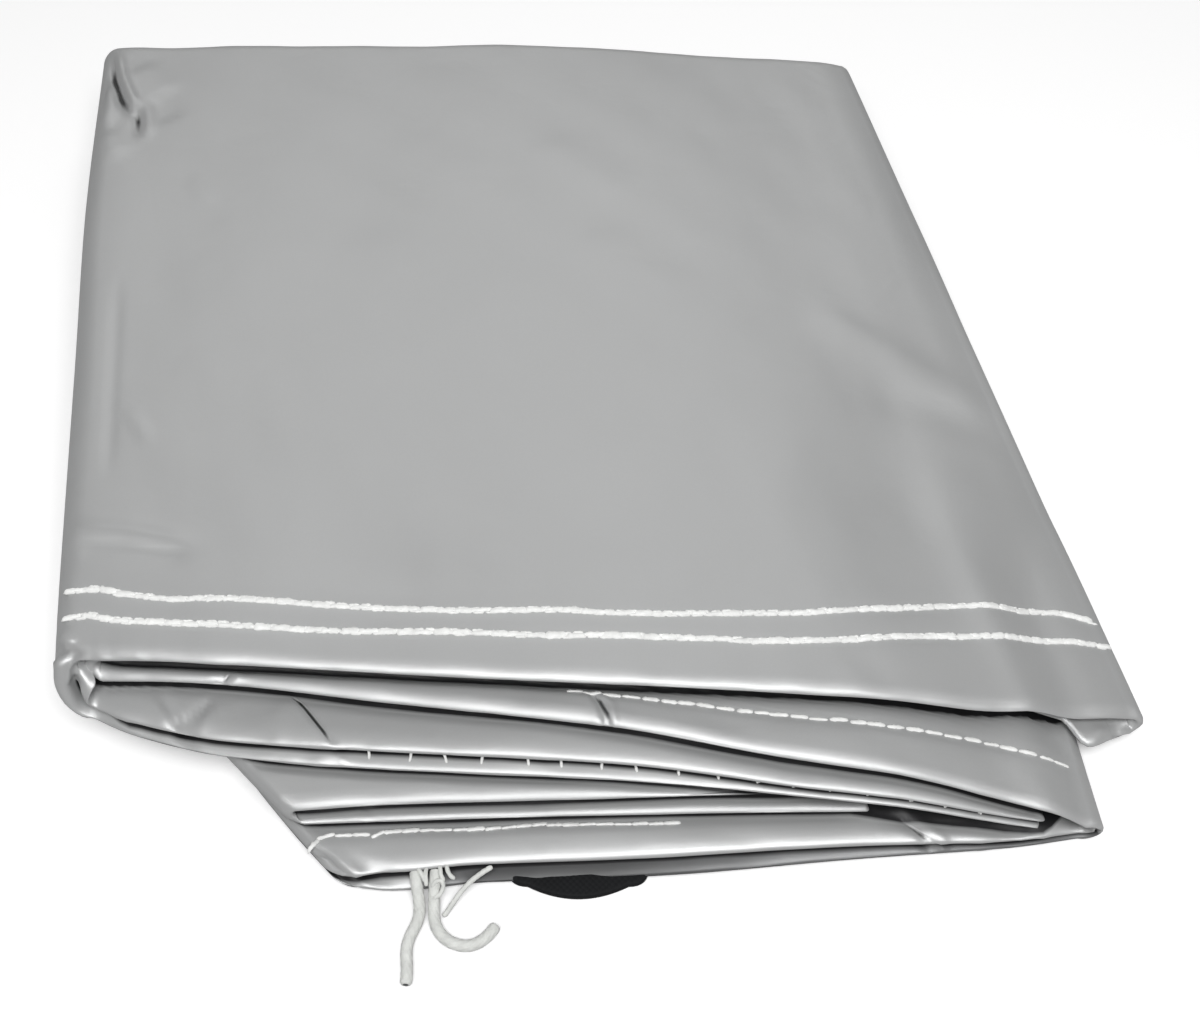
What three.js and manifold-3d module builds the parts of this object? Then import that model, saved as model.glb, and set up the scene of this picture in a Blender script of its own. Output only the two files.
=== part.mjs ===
// A motorcycle cover, folded into a flat packet.
// The cover is first folded lengthwise into a band of several plies, with its sewn hems together
// along the front. That band is then folded back and forth into seven layers, one over another.
// Millimetres, +Z up, the hems face -Y, and the origin is under the middle of the packet.

import * as THREE from "three";
import { mergeVertices } from "three/addons/utils/BufferGeometryUtils.js";
import Module from "manifold-3d";

// Driving dimensions
const layerGap = 1; // air between two layers that lie on each other
const pinchFrontY = -125; // from here forward the layers are pressed thin at the right corner
const pinchBackY = 95; // from here back they are about as thick on the right as on the left
const pinchAtBack = 0.2;
const foldClearance = 3; // a layer starts to come down this far past the fold below it
const cornerReach = 60; // how far the left front corner runs past the lower folds
const cornerDroop = 0.15; // share of a missing layer's height by which that corner sinks
const cordDiameter = 4.1;
const threadDiameter = 1.8;
const cordSides = 8;
const tabWidth = 49;
const tabDepth = 44;
const tabThickness = 3;
const tabBow = 4.5; // how far the middle of the tab's front edge bows out
const tabCornerRadius = 7;
const tabCentreX = 16.5;
const tabFrontY = -212.2;
const tabClearance = 0.4;
const pocketBelow = 1; // the pocket's cut starts this far below the surface

// Fold lines in plan: the x of each line at a few depths, from the back to the front hem
const outerLeft = [
  { y: 210, x: -211 },
  { y: 100, x: -197 },
  { y: 0, x: -180.5 },
  { y: -148, x: -156.5 },
];
const innerLeft = [
  { y: 210, x: -200 },
  { y: 0, x: -171 },
  { y: -148, x: -151.5 },
];
const lowerLeft = [
  { y: 210, x: -204 },
  { y: 0, x: -174 },
  { y: -105, x: -150 },
  { y: -148, x: -119 },
  { y: -170, x: -98 },
  { y: -190, x: -78 },
];
const bottomLeft = [
  { y: 210, x: -200 },
  { y: 0, x: -170 },
  { y: -110, x: -143 },
  { y: -160, x: -104 },
  { y: -188, x: -80 },
  { y: -211, x: -58 },
];
const topRight = [
  { y: 210, x: 142 },
  { y: 40, x: 173 },
  { y: -75, x: 201.5 },
  { y: -152, x: 216.5 },
];
const nestedRight = [
  { y: 210, x: 127 },
  { y: 0, x: 163 },
  { y: -110, x: 186 },
  { y: -150, x: 191 },
  { y: -190, x: 192 },
];
const middleRight = [
  { y: 210, x: 110 },
  { y: 0, x: 140 },
  { y: -150, x: 168 },
  { y: -190, x: 175 },
];
const tongueRight = [
  { y: 210, x: 0 },
  { y: 0, x: 62 },
  { y: -186, x: 117 },
];

// The layers from the lowest up. Thick is the thickness at five places across the packet, from
// its left edge to the pinched right front corner. Fade is the length, at the front and at the
// back, over which the layers above come down past this layer's right end. Front is the hem's
// line in plan, and step is how far the upper hem lies behind the lower one where both show.
const layers = [
  {
    name: "bottom",
    left: bottomLeft,
    right: nestedRight,
    backY: 208.5,
    thick: [9, 10, 8.5, 6.5, 4],
    fade: { front: 46, back: 100 },
    twoHems: 1,
    front: [
      { x: -58, y: -209 },
      { x: -48, y: -210.2 },
      { x: -17, y: -207.4 },
      { x: 40, y: -204.9 },
      { x: 115, y: -198 },
      { x: 168, y: -193.6 },
      { x: 194, y: -189.5 },
    ],
    step: [
      { x: -58, y: 2 },
      { x: -45, y: 4.5 },
      { x: 40, y: 4.5 },
      { x: 168, y: 1 },
    ],
  },
  {
    name: "tongue",
    left: lowerLeft,
    right: tongueRight,
    backY: 206.5,
    thick: [4.5, 4.5, 3.5, 3, 3],
    fade: { front: 60, back: 110 },
    twoHems: 0,
    front: [
      { x: -79, y: -190.6 },
      { x: -20, y: -188.6 },
      { x: 60, y: -186.4 },
      { x: 119, y: -184.8 },
    ],
  },
  {
    name: "third",
    left: lowerLeft,
    right: middleRight,
    backY: 208,
    thick: [5.5, 5.5, 4.5, 3.2, 3],
    fade: { front: 26, back: 140 },
    twoHems: 0,
    front: [
      { x: -81, y: -188.7 },
      { x: -50, y: -186.5 },
      { x: 24, y: -184.3 },
      { x: 100, y: -181.6 },
      { x: 175, y: -186 },
    ],
  },
  {
    name: "middle",
    left: outerLeft,
    right: middleRight,
    backY: 209.5,
    thick: [8, 8, 6, 4, 3.5],
    fade: { front: 26, back: 140 },
    twoHems: 1,
    front: [
      { x: -167, y: -148.4 },
      { x: -137, y: -162 },
      { x: -104, y: -170.7 },
      { x: -55, y: -175.3 },
      { x: 24, y: -179.5 },
      { x: 113, y: -186.4 },
      { x: 175, y: -191.4 },
    ],
    step: [
      { x: -160, y: 1.5 },
      { x: -55, y: 5 },
      { x: 24, y: 4.5 },
      { x: 90, y: 1.5 },
    ],
  },
  {
    name: "nested",
    left: innerLeft,
    right: nestedRight,
    backY: 207.5,
    thick: [5.5, 5.5, 5, 4.5, 4],
    fade: { front: 46, back: 100 },
    twoHems: 0,
    front: [
      { x: -158, y: -144.4 },
      { x: -110, y: -147.4 },
      { x: -50, y: -155.2 },
      { x: 24, y: -164.2 },
      { x: 85, y: -174.9 },
      { x: 140, y: -181.4 },
      { x: 196, y: -192 },
    ],
  },
  {
    name: "under",
    left: innerLeft,
    right: topRight,
    backY: 208.5,
    thick: [5, 5, 5, 5, 5],
    fade: { front: 34, back: 100 },
    twoHems: 0,
    front: [
      { x: -160, y: -140 },
      { x: -100, y: -143 },
      { x: -10, y: -149 },
      { x: 70, y: -152.5 },
      { x: 150, y: -152 },
      { x: 190, y: -150.5 },
      { x: 198, y: -160 },
      { x: 208, y: -156 },
      { x: 219, y: -150 },
    ],
  },
  {
    name: "top",
    left: outerLeft,
    right: topRight,
    backY: 210.5,
    thick: [5.5, 5.5, 5.5, 5.5, 5.5],
    fade: { front: 34, back: 100 },
    twoHems: 0,
    front: [
      { x: -160, y: -143.5 },
      { x: -100, y: -147.4 },
      { x: -10, y: -153.4 },
      { x: 70, y: -156.8 },
      { x: 150, y: -157.5 },
      { x: 218, y: -149.5 },
    ],
  },
];
const thickPlaces = [0, 0.5, 0.74, 0.87, 0.955];

// The way through the layers, from the free end at the bottom to the free end of the tongue.
// A run crosses a layer and a fold joins it to the next one. The bulge is how far a fold stands
// out past its fold line, or 0 where it is simply round.
const way = [
  { run: "bottom", toRight: true, steps: 14 },
  { fold: "right", bulge: 7, steps: 6 },
  { run: "nested", toRight: false, steps: 19 },
  { fold: "left", bulge: 0, steps: 5 },
  { run: "under", toRight: true, steps: 19 },
  { fold: "right", bulge: 0, steps: 5 },
  { run: "top", toRight: false, steps: 19 },
  { fold: "left", bulge: 8, steps: 6 },
  { run: "middle", toRight: true, steps: 14 },
  { fold: "right", bulge: 0, steps: 5 },
  { run: "third", toRight: false, steps: 12 },
  { fold: "left", bulge: 0, steps: 5 },
  { run: "tongue", toRight: true, steps: 10 },
];
const endRounding = [0.92, 0.7, 0.35]; // sections past a free end, in shares of half the thickness

// Section of a layer from its back fold to its front hem. Across runs from 1 on one face to -1
// on the other, and behind is the distance behind the edge's tip, in layer thicknesses.
const singleHem = [
  { across: 1, behind: 0.6 },
  { across: 0.8, behind: 0.2 },
  { across: 0.4, behind: 0.03 },
  { across: 0, behind: 0 },
  { across: -0.4, behind: 0.03 },
  { across: -0.8, behind: 0.2 },
  { across: -1, behind: 0.6 },
];
const doubleHem = [
  { across: 1, behind: 0.4 },
  { across: 0.82, behind: 0.1 },
  { across: 0.4, behind: 0 },
  { across: 0, behind: 0.3 },
  { across: -0.35, behind: 0.04 },
  { across: -0.75, behind: 0.04 },
  { across: -1, behind: 0.35 },
];
const backFold = [
  { across: -1, behind: 0.5 },
  { across: -0.6, behind: 0.12 },
  { across: 0, behind: 0 },
  { across: 0.6, behind: 0.12 },
  { across: 1, behind: 0.5 },
];
const skinDepths = [0.18, 0.35, 0.5, 0.62, 0.7, 0.76, 0.82, 0.88, 0.94];

// The free ends of the drawcord and a loose thread: their middle lines, from the hem outwards
const cordLeft = [
  [-39.2, -205.1, 6.5],
  [-39, -207.1, 6.35],
  [-38.6, -209.2, 5.9],
  [-38.2, -211.2, 4.95],
  [-37.8, -213.2, 3.8],
  [-37.5, -215.3, 2.8],
  [-37.4, -217.4, 2.25],
  [-37.6, -219.6, 2.1],
  [-38.2, -221.8, 2.1],
  [-39.1, -224, 2.1],
  [-40, -226.4, 2.1],
  [-40.6, -229, 2.1],
  [-40.7, -231.8, 2.1],
  [-40.4, -234.6, 2.1],
  [-40.1, -237.4, 2.1],
  [-40, -240, 2.1],
  [-40.1, -242.6, 2.1],
];
const cordRight = [
  [-32.3, -204.5, 6.5],
  [-32.3, -206.6, 6.35],
  [-32.4, -208.7, 5.9],
  [-32.5, -210.8, 4.95],
  [-32.5, -213, 3.8],
  [-32.5, -215.2, 2.8],
  [-32.4, -217.4, 2.25],
  [-32.2, -219.4, 2.1],
  [-31.7, -221.6, 2.1],
  [-30.6, -223.9, 2.1],
  [-28.9, -226, 2.1],
  [-26.7, -227.7, 2.1],
  [-24.1, -228.8, 2.1],
  [-21.4, -229.3, 2.1],
  [-18.7, -229, 2.1],
  [-16.3, -227.9, 2.1],
  [-14.2, -226.2, 2.1],
  [-12.5, -224.2, 2.1],
  [-11.2, -222.2, 2.1],
];
const looseThread = [
  [-29.3, -218.6, 1],
  [-28.4, -217.4, 1.3],
  [-27.4, -216.1, 1.9],
  [-26.3, -214.8, 2.8],
  [-25.1, -213.4, 3.9],
  [-23.8, -212, 5],
  [-22.5, -210.7, 5.9],
  [-21.1, -209.4, 6.6],
  [-19.6, -208, 7],
  [-18, -206.8, 7.3],
  [-16.3, -205.6, 7.6],
  [-14.6, -204.5, 7.8],
  [-12.9, -203.6, 8],
];

const lerp = (a, b, t) => a + (b - a) * t;
const clamp01 = (t) => Math.min(1, Math.max(0, t));
const smooth = (t) => clamp01(t) ** 2 * (3 - 2 * clamp01(t));
const closerAtEnds = (t) => (1 - Math.cos(Math.PI * t)) / 2;
const layerOf = (name) => layers.find((layer) => layer.name === name);

// A smooth curve through a table's rows, read off at one column's value. It never overshoots a row.
function readOff(rows, from, to, value) {
  const slopes = rows.slice(1).map((row, i) => (row[to] - rows[i][to]) / (row[from] - rows[i][from]));
  const turning = (rise, next) => (rise * next <= 0 ? 0 : (2 * rise * next) / (rise + next));
  const tangents = rows.map((_, i) => turning(slopes[i - 1] ?? slopes[i], slopes[i] ?? slopes[i - 1]));
  const place01 = (i) => (value - rows[i][from]) / (rows[i + 1][from] - rows[i][from]);
  if (place01(0) <= 0) return rows[0][to];
  const i = slopes.findIndex((_, k) => place01(k) <= 1);
  if (i < 0) return rows.at(-1)[to];
  const t = place01(i);
  const span = rows[i + 1][from] - rows[i][from];
  const ease = smooth(t);
  const leave = t * (1 - t) ** 2 * span * tangents[i];
  const arrive = t * t * (t - 1) * span * tangents[i + 1];
  return lerp(rows[i][to], rows[i + 1][to], ease) + leave + arrive;
}

const foldX = (line, y) => readOff(line, "y", "x", y);
const hemY = (layer, x) => readOff(layer.front, "x", "y", x);
const hemStep = (layer, x) => (layer.step ? readOff(layer.step, "x", "y", x) : 0);

// How strongly the right front corner is pressed: 1 at the front, little at the back
const pinch = (y) => lerp(pinchAtBack, 1, smooth((pinchBackY - y) / (pinchBackY - pinchFrontY)));

function thickness(layer, x, y) {
  const place = (x - foldX(outerLeft, y)) / (foldX(topRight, y) - foldX(outerLeft, y));
  const rows = thickPlaces.map((at, i) => ({ at, thick: layer.thick[i] }));
  const pressed = readOff(rows, "at", "thick", place);
  const loose = Math.max(pressed, layer.thick[1]);
  return place < thickPlaces[1] ? pressed : lerp(loose, pressed, pinch(y));
}

// The share of a layer's height that still carries what lies above it at a place in plan
function support(layer, x, y) {
  const fade = lerp(layer.fade.back, layer.fade.front, pinch(y));
  const pastRight = smooth((x - foldX(layer.right, y) - foldClearance) / fade);
  const pastLeft = smooth((foldX(layer.left, y) - x) / cornerReach) * cornerDroop;
  return (1 - pastRight) * (1 - pastLeft);
}

// Height of a layer's middle: all that lies below it, and half of its own thickness
function middleZ(layer, x, y) {
  const below = layers.slice(0, layers.indexOf(layer));
  const heap = below.reduce(
    (sum, under) => sum + (thickness(under, x, y) + layerGap) * support(under, x, y),
    0,
  );
  return heap + thickness(layer, x, y) / 2;
}

// A place in a layer, by its share of the width and by its depth y measured at the middle
function placeInLayer(layer, share, behindTip, behindBack) {
  const ends = [foldX(layer.left, layer.front[0].y), foldX(layer.right, layer.front.at(-1).y)];
  const frontX = lerp(ends[0], ends[1], share);
  const tipY = hemY(layer, frontX);
  const y = behindTip === null ? layer.backY - behindBack : tipY + behindTip;
  const depth = clamp01((layer.backY - y) / (layer.backY - tipY));
  const sideY = ends.map((x) => lerp(layer.backY, hemY(layer, x), depth));
  const x = lerp(foldX(layer.left, sideY[0]), foldX(layer.right, sideY[1]), share);
  return { x, y, z: middleZ(layer, x, y), half: thickness(layer, x, y) / 2 };
}

// One section of a layer as a closed ring: lower back fold, upper face, front hem, lower face.
// The place function gives the middle point for a distance behind the tip or before the back.
function ringOfSection(place, twoHems, step, thick, tipToBack) {
  const hem = singleHem.map((single, i) => ({
    across: lerp(single.across, doubleHem[i].across, twoHems),
    behind: lerp(single.behind, doubleHem[i].behind, twoHems) * thick + (i < 4 ? step * twoHems : 0),
  }));
  const back = backFold.map(({ across, behind }) => ({ across, before: behind * thick }));
  const skin = (across, from, to) =>
    skinDepths.map((depth) => ({ across, behind: lerp(from, to, depth) }));
  const upper = skin(1, tipToBack - back[4].before, hem[0].behind);
  const lower = skin(-1, tipToBack - back[0].before, hem[6].behind).reverse();
  return [...back, ...upper, ...hem, ...lower].map((point) => ({
    across: point.across,
    ...place(point.behind ?? null, point.before ?? 0),
  }));
}

function sectionOfRun(layer, share, direction, pastEnd) {
  const ends = [foldX(layer.left, layer.front[0].y), foldX(layer.right, layer.front.at(-1).y)];
  const frontX = lerp(ends[0], ends[1], share);
  const tipY = hemY(layer, frontX);
  const thick = thickness(layer, frontX, tipY);
  const shrink = Math.sqrt(1 - pastEnd ** 2);
  const inset = ((1 - shrink) * thick) / 2;
  const place = (behindTip, behindBack) => {
    const tip = behindTip === null ? null : behindTip + inset;
    const middle = placeInLayer(layer, share, tip, behindBack + inset);
    const outward = share === 0 ? -1 : 1;
    middle.x += outward * pastEnd * middle.half;
    return { ...middle, half: middle.half * shrink, normal: { x: 0, z: direction } };
  };
  return ringOfSection(place, layer.twoHems, hemStep(layer, frontX), thick, layer.backY - tipY - 2 * inset);
}

function sectionOfFold(from, to, share, fold, t) {
  const side = fold.fold === "right" ? 1 : -1;
  const frontX = (layer) => foldX(side > 0 ? layer.right : layer.left, layer.front.at(side > 0 ? -1 : 0).y);
  const tips = [from, to].map((layer) => hemY(layer, frontX(layer)));
  const thicks = [from, to].map((layer, i) => thickness(layer, frontX(layer), tips[i]));
  const steps = [from, to].map((layer) => hemStep(layer, frontX(layer)));
  const turn = Math.PI * t;
  const place = (behindTip, behindBack) => {
    const [a, b] = [from, to].map((layer) => placeInLayer(layer, share, behindTip, behindBack));
    const rise = (b.z - a.z) / 2;
    const bulge = fold.bulge === 0 ? Math.abs(rise) : Math.min(fold.bulge, Math.abs(rise) * 1.2);
    const tangent = { x: side * bulge * Math.cos(turn), z: rise * Math.sin(turn) };
    const length = Math.hypot(tangent.x, tangent.z);
    return {
      x: lerp(a.x, b.x, t) + side * bulge * Math.sin(turn),
      y: lerp(a.y, b.y, smooth(t)),
      z: a.z + rise * (1 - Math.cos(turn)),
      half: lerp(a.half, b.half, t),
      normal: { x: -tangent.z / length, z: tangent.x / length },
    };
  };
  const twoHems = lerp(from.twoHems, to.twoHems, smooth(t));
  const tipToBack = lerp(from.backY - tips[0], to.backY - tips[1], smooth(t));
  return ringOfSection(place, twoHems, lerp(...steps, t), lerp(...thicks, t), tipToBack);
}

// All sections in order along the way, with rounded sections past the two free ends
function sectionsAlongWay() {
  const sections = [];
  way.forEach((stretch, i) => {
    if (stretch.run) {
      const layer = layerOf(stretch.run);
      const direction = stretch.toRight ? 1 : -1;
      // Sections stand closer together towards both ends of a run, where it bends most
      const share = (t) => (stretch.toRight ? closerAtEnds(t) : 1 - closerAtEnds(t));
      if (i === 0) endRounding.forEach((e) => sections.push(sectionOfRun(layer, 0, direction, e)));
      for (let k = 0; k <= stretch.steps; k += 1) {
        sections.push(sectionOfRun(layer, share(k / stretch.steps), direction, 0));
      }
      const back = endRounding.toReversed();
      if (i === way.length - 1) back.forEach((e) => sections.push(sectionOfRun(layer, 1, direction, e)));
    } else {
      const from = layerOf(way[i - 1].run);
      const to = layerOf(way[i + 1].run);
      const share = stretch.fold === "right" ? 1 : 0;
      for (let k = 1; k < stretch.steps; k += 1) {
        sections.push(sectionOfFold(from, to, share, stretch, k / stretch.steps));
      }
    }
  });
  return sections;
}

function clothGeometry() {
  const sections = sectionsAlongWay();
  const size = sections[0].length;
  const positions = sections.flat().flatMap(({ x, y, z, half, across, normal }) => [
    x + across * half * normal.x,
    y,
    z + across * half * normal.z,
  ]);
  const faces = [];
  for (let i = 0; i + 1 < sections.length; i += 1) {
    for (let k = 0; k < size; k += 1) {
      const next = (k + 1) % size;
      const [a, b, c, d] = [i * size + k, i * size + next, (i + 1) * size + next, (i + 1) * size + k];
      faces.push(a, b, c, a, c, d);
    }
  }
  // A free end is closed by joining its upper and lower points across
  const middle = backFold.length >> 1;
  const mirrored = (k) => (2 * middle - k + size) % size;
  const close = (start, flip) => {
    for (let k = middle + 1; k <= middle + size / 2; k += 1) {
      const quad = [k - 1, k, mirrored(k), mirrored(k - 1)].map((j) => start + (j % size));
      const triangles = [
        [quad[0], quad[1], quad[2]],
        [quad[0], quad[2], quad[3]],
      ];
      triangles
        .filter((corners) => new Set(corners).size === 3)
        .forEach((corners) => faces.push(...(flip ? corners.toReversed() : corners)));
    }
  };
  close(0, true);
  close((sections.length - 1) * size, false);
  const geometry = new THREE.BufferGeometry();
  geometry.setAttribute("position", new THREE.Float32BufferAttribute(positions, 3));
  geometry.setIndex(faces);
  return geometry;
}

// The tab's outline in plan, grown by a margin: a bowed front edge between two round corners
function tabGeometry(margin, height) {
  const half = tabWidth / 2 + margin;
  const front = tabFrontY - margin;
  const back = tabFrontY + tabDepth + margin;
  const [left, right] = [tabCentreX - half, tabCentreX + half];
  const bowEndY = front + tabBow;
  const bowPullY = front - tabBow; // the curve passes halfway between its pull point and its ends
  const outline = new THREE.Shape();
  outline.moveTo(left, back);
  outline.lineTo(left, bowEndY + tabCornerRadius);
  outline.quadraticCurveTo(left, bowEndY, left + tabCornerRadius, bowEndY);
  outline.quadraticCurveTo(tabCentreX, bowPullY, right - tabCornerRadius, bowEndY);
  outline.quadraticCurveTo(right, bowEndY, right, bowEndY + tabCornerRadius);
  outline.lineTo(right, back);
  outline.closePath();
  return new THREE.ExtrudeGeometry(outline, { depth: height, bevelEnabled: false, curveSegments: 8 });
}

function cordGeometry(points, diameter) {
  const corners = Array.from({ length: cordSides }, (_, i) => {
    const angle = ((i + 0.5) / cordSides) * 2 * Math.PI;
    return new THREE.Vector2(Math.cos(angle), Math.sin(angle)).multiplyScalar(diameter / 2);
  });
  const route = new THREE.CatmullRomCurve3(points.map((point) => new THREE.Vector3(...point)));
  const steps = points.length - 1;
  return new THREE.ExtrudeGeometry(new THREE.Shape(corners), { steps, extrudePath: route });
}

const wasm = await Module();
wasm.setup();

function solidOf(geometry) {
  const plain = geometry.clone();
  plain.deleteAttribute("normal");
  plain.deleteAttribute("uv");
  const merged = mergeVertices(plain);
  const vertProperties = new Float32Array(merged.attributes.position.array);
  const triVerts = new Uint32Array(merged.index.array);
  return new wasm.Manifold(new wasm.Mesh({ numProp: 3, vertProperties, triVerts }));
}

function geometryOf(solid) {
  const { vertProperties, triVerts } = solid.getMesh();
  const geometry = new THREE.BufferGeometry();
  geometry.setAttribute("position", new THREE.Float32BufferAttribute(vertProperties, 3));
  geometry.setIndex(Array.from(triVerts));
  geometry.computeVertexNormals();
  return geometry;
}

const silverCloth = { color: 0xb4b6b6, roughness: 0.5, metalness: 0.25 };
const whiteCord = { color: 0xdedfda, roughness: 0.85, metalness: 0 };
const blackTab = { color: 0x121416, roughness: 0.6, metalness: 0 };

const cover = new THREE.Group();

function addPiece(name, geometry, finish) {
  const piece = new THREE.Mesh(geometry, new THREE.MeshStandardMaterial(finish));
  piece.name = name;
  cover.add(piece);
}

// The packet lies on the tab, which presses a pocket into its underside
const pocketHeight = pocketBelow + tabThickness + tabClearance;
const pocket = tabGeometry(tabClearance, pocketHeight).translate(0, 0, -pocketBelow);
const cloth = solidOf(clothGeometry()).subtract(solidOf(pocket));
addPiece("cover_cloth", geometryOf(cloth), silverCloth);
addPiece("cord_left", cordGeometry(cordLeft, cordDiameter), whiteCord);
addPiece("cord_right", cordGeometry(cordRight, cordDiameter), whiteCord);
addPiece("cord_thread", cordGeometry(looseThread, threadDiameter), whiteCord);
addPiece("black_tab", tabGeometry(0, tabThickness), blackTab);

export default cover;
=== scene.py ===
# %% [markdown]
# # A folded motorcycle cover
# The cover is one large piece of silver-grey coated cloth. It is folded lengthwise into a band with
# its sewn hems together along the front, and the band is then folded back and forth into a packet.
# A measured model of the packet is loaded first, and every piece below is laid on it at real size.

# %% Tools and the frame
import math
import bpy
import numpy as np
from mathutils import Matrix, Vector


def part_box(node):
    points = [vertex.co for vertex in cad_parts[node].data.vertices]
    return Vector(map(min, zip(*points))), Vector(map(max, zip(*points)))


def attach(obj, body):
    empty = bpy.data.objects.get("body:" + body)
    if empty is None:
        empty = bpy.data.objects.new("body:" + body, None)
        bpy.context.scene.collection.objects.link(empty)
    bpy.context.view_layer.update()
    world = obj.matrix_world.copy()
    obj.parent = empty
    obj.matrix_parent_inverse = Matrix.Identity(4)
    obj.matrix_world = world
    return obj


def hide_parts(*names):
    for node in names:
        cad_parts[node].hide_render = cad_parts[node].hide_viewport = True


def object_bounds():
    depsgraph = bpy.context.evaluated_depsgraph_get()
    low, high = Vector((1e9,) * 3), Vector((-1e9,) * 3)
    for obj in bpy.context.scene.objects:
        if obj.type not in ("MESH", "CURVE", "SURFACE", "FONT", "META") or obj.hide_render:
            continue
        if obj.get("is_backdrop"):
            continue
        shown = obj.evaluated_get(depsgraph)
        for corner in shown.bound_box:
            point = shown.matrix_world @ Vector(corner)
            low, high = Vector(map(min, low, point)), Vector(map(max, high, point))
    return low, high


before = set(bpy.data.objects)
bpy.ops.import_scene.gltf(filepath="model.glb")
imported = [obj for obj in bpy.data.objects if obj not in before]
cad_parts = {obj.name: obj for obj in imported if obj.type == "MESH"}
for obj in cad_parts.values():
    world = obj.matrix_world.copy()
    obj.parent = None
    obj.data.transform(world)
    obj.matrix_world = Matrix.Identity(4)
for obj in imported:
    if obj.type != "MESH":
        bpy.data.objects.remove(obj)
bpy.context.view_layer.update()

# %% [markdown]
# ## Working in millimetres
# Cloth, hems and cords are easiest to think of in millimetres, while Blender's unit is the metre.
# The tables below are in millimetres, and one helper turns a list of points into a mesh in metres.

# %% Millimetres and meshes
MM = 0.001


def add_piece(name, points, faces, materials, slot):
    mesh = bpy.data.meshes.new(name)
    mesh.from_pydata((np.asarray(points, float) * MM).tolist(), [], faces)
    mesh.shade_smooth()
    for material in materials:
        mesh.materials.append(material)
    piece = bpy.data.objects.new(name, mesh)
    bpy.context.scene.collection.objects.link(piece)
    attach(piece, "root")
    print(f"{name}: {len(mesh.vertices)} points, {len(mesh.polygons)} faces")
    return piece


def metres(points):
    return [tuple(float(v) * MM for v in point) for point in points]


# %% [markdown]
# ## The camera
# The packet is seen from the front and well above, with the left edge nearly upright in the picture
# and the right edge running away. A lens of 45 mm on a 36 mm sensor, tipped 52 degrees below the
# horizon and looking straight along +Y, gives the same taper from the front edge to the back.

# %% Camera
camera_place = (0.024, -0.4255, 0.487)
camera_pitch = 52
camera_data = bpy.data.cameras.new("camera")
camera_data.lens = 45
camera_data.sensor_fit = "HORIZONTAL"
camera_data.sensor_width = 36
camera = bpy.data.objects.new("camera", camera_data)
camera.location = camera_place
camera.rotation_euler = (math.radians(90 - camera_pitch), 0, 0)
bpy.context.scene.collection.objects.link(camera)
bpy.context.scene.camera = camera
print("camera", camera_pitch, "degrees down, lens", camera_data.lens, "mm")

# %% [markdown]
# ## Node helpers
# Materials here are built from nodes by code. Small helpers keep that readable: one adds a node with
# its settings, two start and place a node group with named sockets, one starts a material, and the
# others stand for the nodes that come up again and again: maths, noise, bump and a mix of colours.

# %% Node helpers
def add_node(tree, kind, inputs=None, **settings):
    node = tree.nodes.new(kind)
    for name, value in settings.items():
        setattr(node, name, value)
    for name, value in (inputs or {}).items():
        if hasattr(value, "is_output"):
            tree.links.new(value, node.inputs[name])
        else:
            node.inputs[name].default_value = value
    return node


def start_group(name, inputs, outputs):
    group = bpy.data.node_groups.new(name, "ShaderNodeTree")
    for socket, (kind, value) in inputs.items():
        made = group.interface.new_socket(socket, in_out="INPUT", socket_type=kind)
        made.default_value = value
    for socket, kind in outputs.items():
        group.interface.new_socket(socket, in_out="OUTPUT", socket_type=kind)
    given = add_node(group, "NodeGroupInput").outputs
    return group, given, add_node(group, "NodeGroupOutput").inputs


def place_group(tree, group, inputs):
    return add_node(tree, "ShaderNodeGroup", inputs, node_tree=group).outputs


def maths(tree, operation, a, b=0.0, c=0.0):
    return add_node(tree, "ShaderNodeMath", {0: a, 1: b, 2: c}, operation=operation).outputs[0]


def noise(tree, place, scale, detail, distortion=0.0):
    given = {"Vector": place, "Scale": scale, "Detail": detail, "Distortion": distortion}
    return add_node(tree, "ShaderNodeTexNoise", given).outputs["Fac"]


def bump(tree, height, strength, distance, **below):
    given = {"Height": height, "Strength": strength, "Distance": distance, **below}
    return add_node(tree, "ShaderNodeBump", given).outputs["Normal"]


def mix_colours(tree, share, one, other):
    given = {0: share, 6: one, 7: other}
    return add_node(tree, "ShaderNodeMix", given, data_type="RGBA").outputs[2]


def start_material(name):
    """A new material, its nodes, its shader, and the place of a point on the piece."""
    material = bpy.data.materials.new(name)
    material.use_nodes = True
    tree = material.node_tree
    place = add_node(tree, "ShaderNodeTexCoord").outputs["Object"]
    return material, tree, tree.nodes["Principled BSDF"], place


FLOAT = "NodeSocketFloat"
COLOUR = "NodeSocketColor"
VECTOR = "NodeSocketVector"

# %% [markdown]
# ## Unevenness, shared by all finishes
# No textile is one flat colour. A slow noise shifts a tone a little lighter or darker, and a finer
# one adds the specks of yarn. Cloth, cord, thread and webbing all use this group with their own
# sizes, so it is built once, and its sockets are named after what they do.

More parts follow.
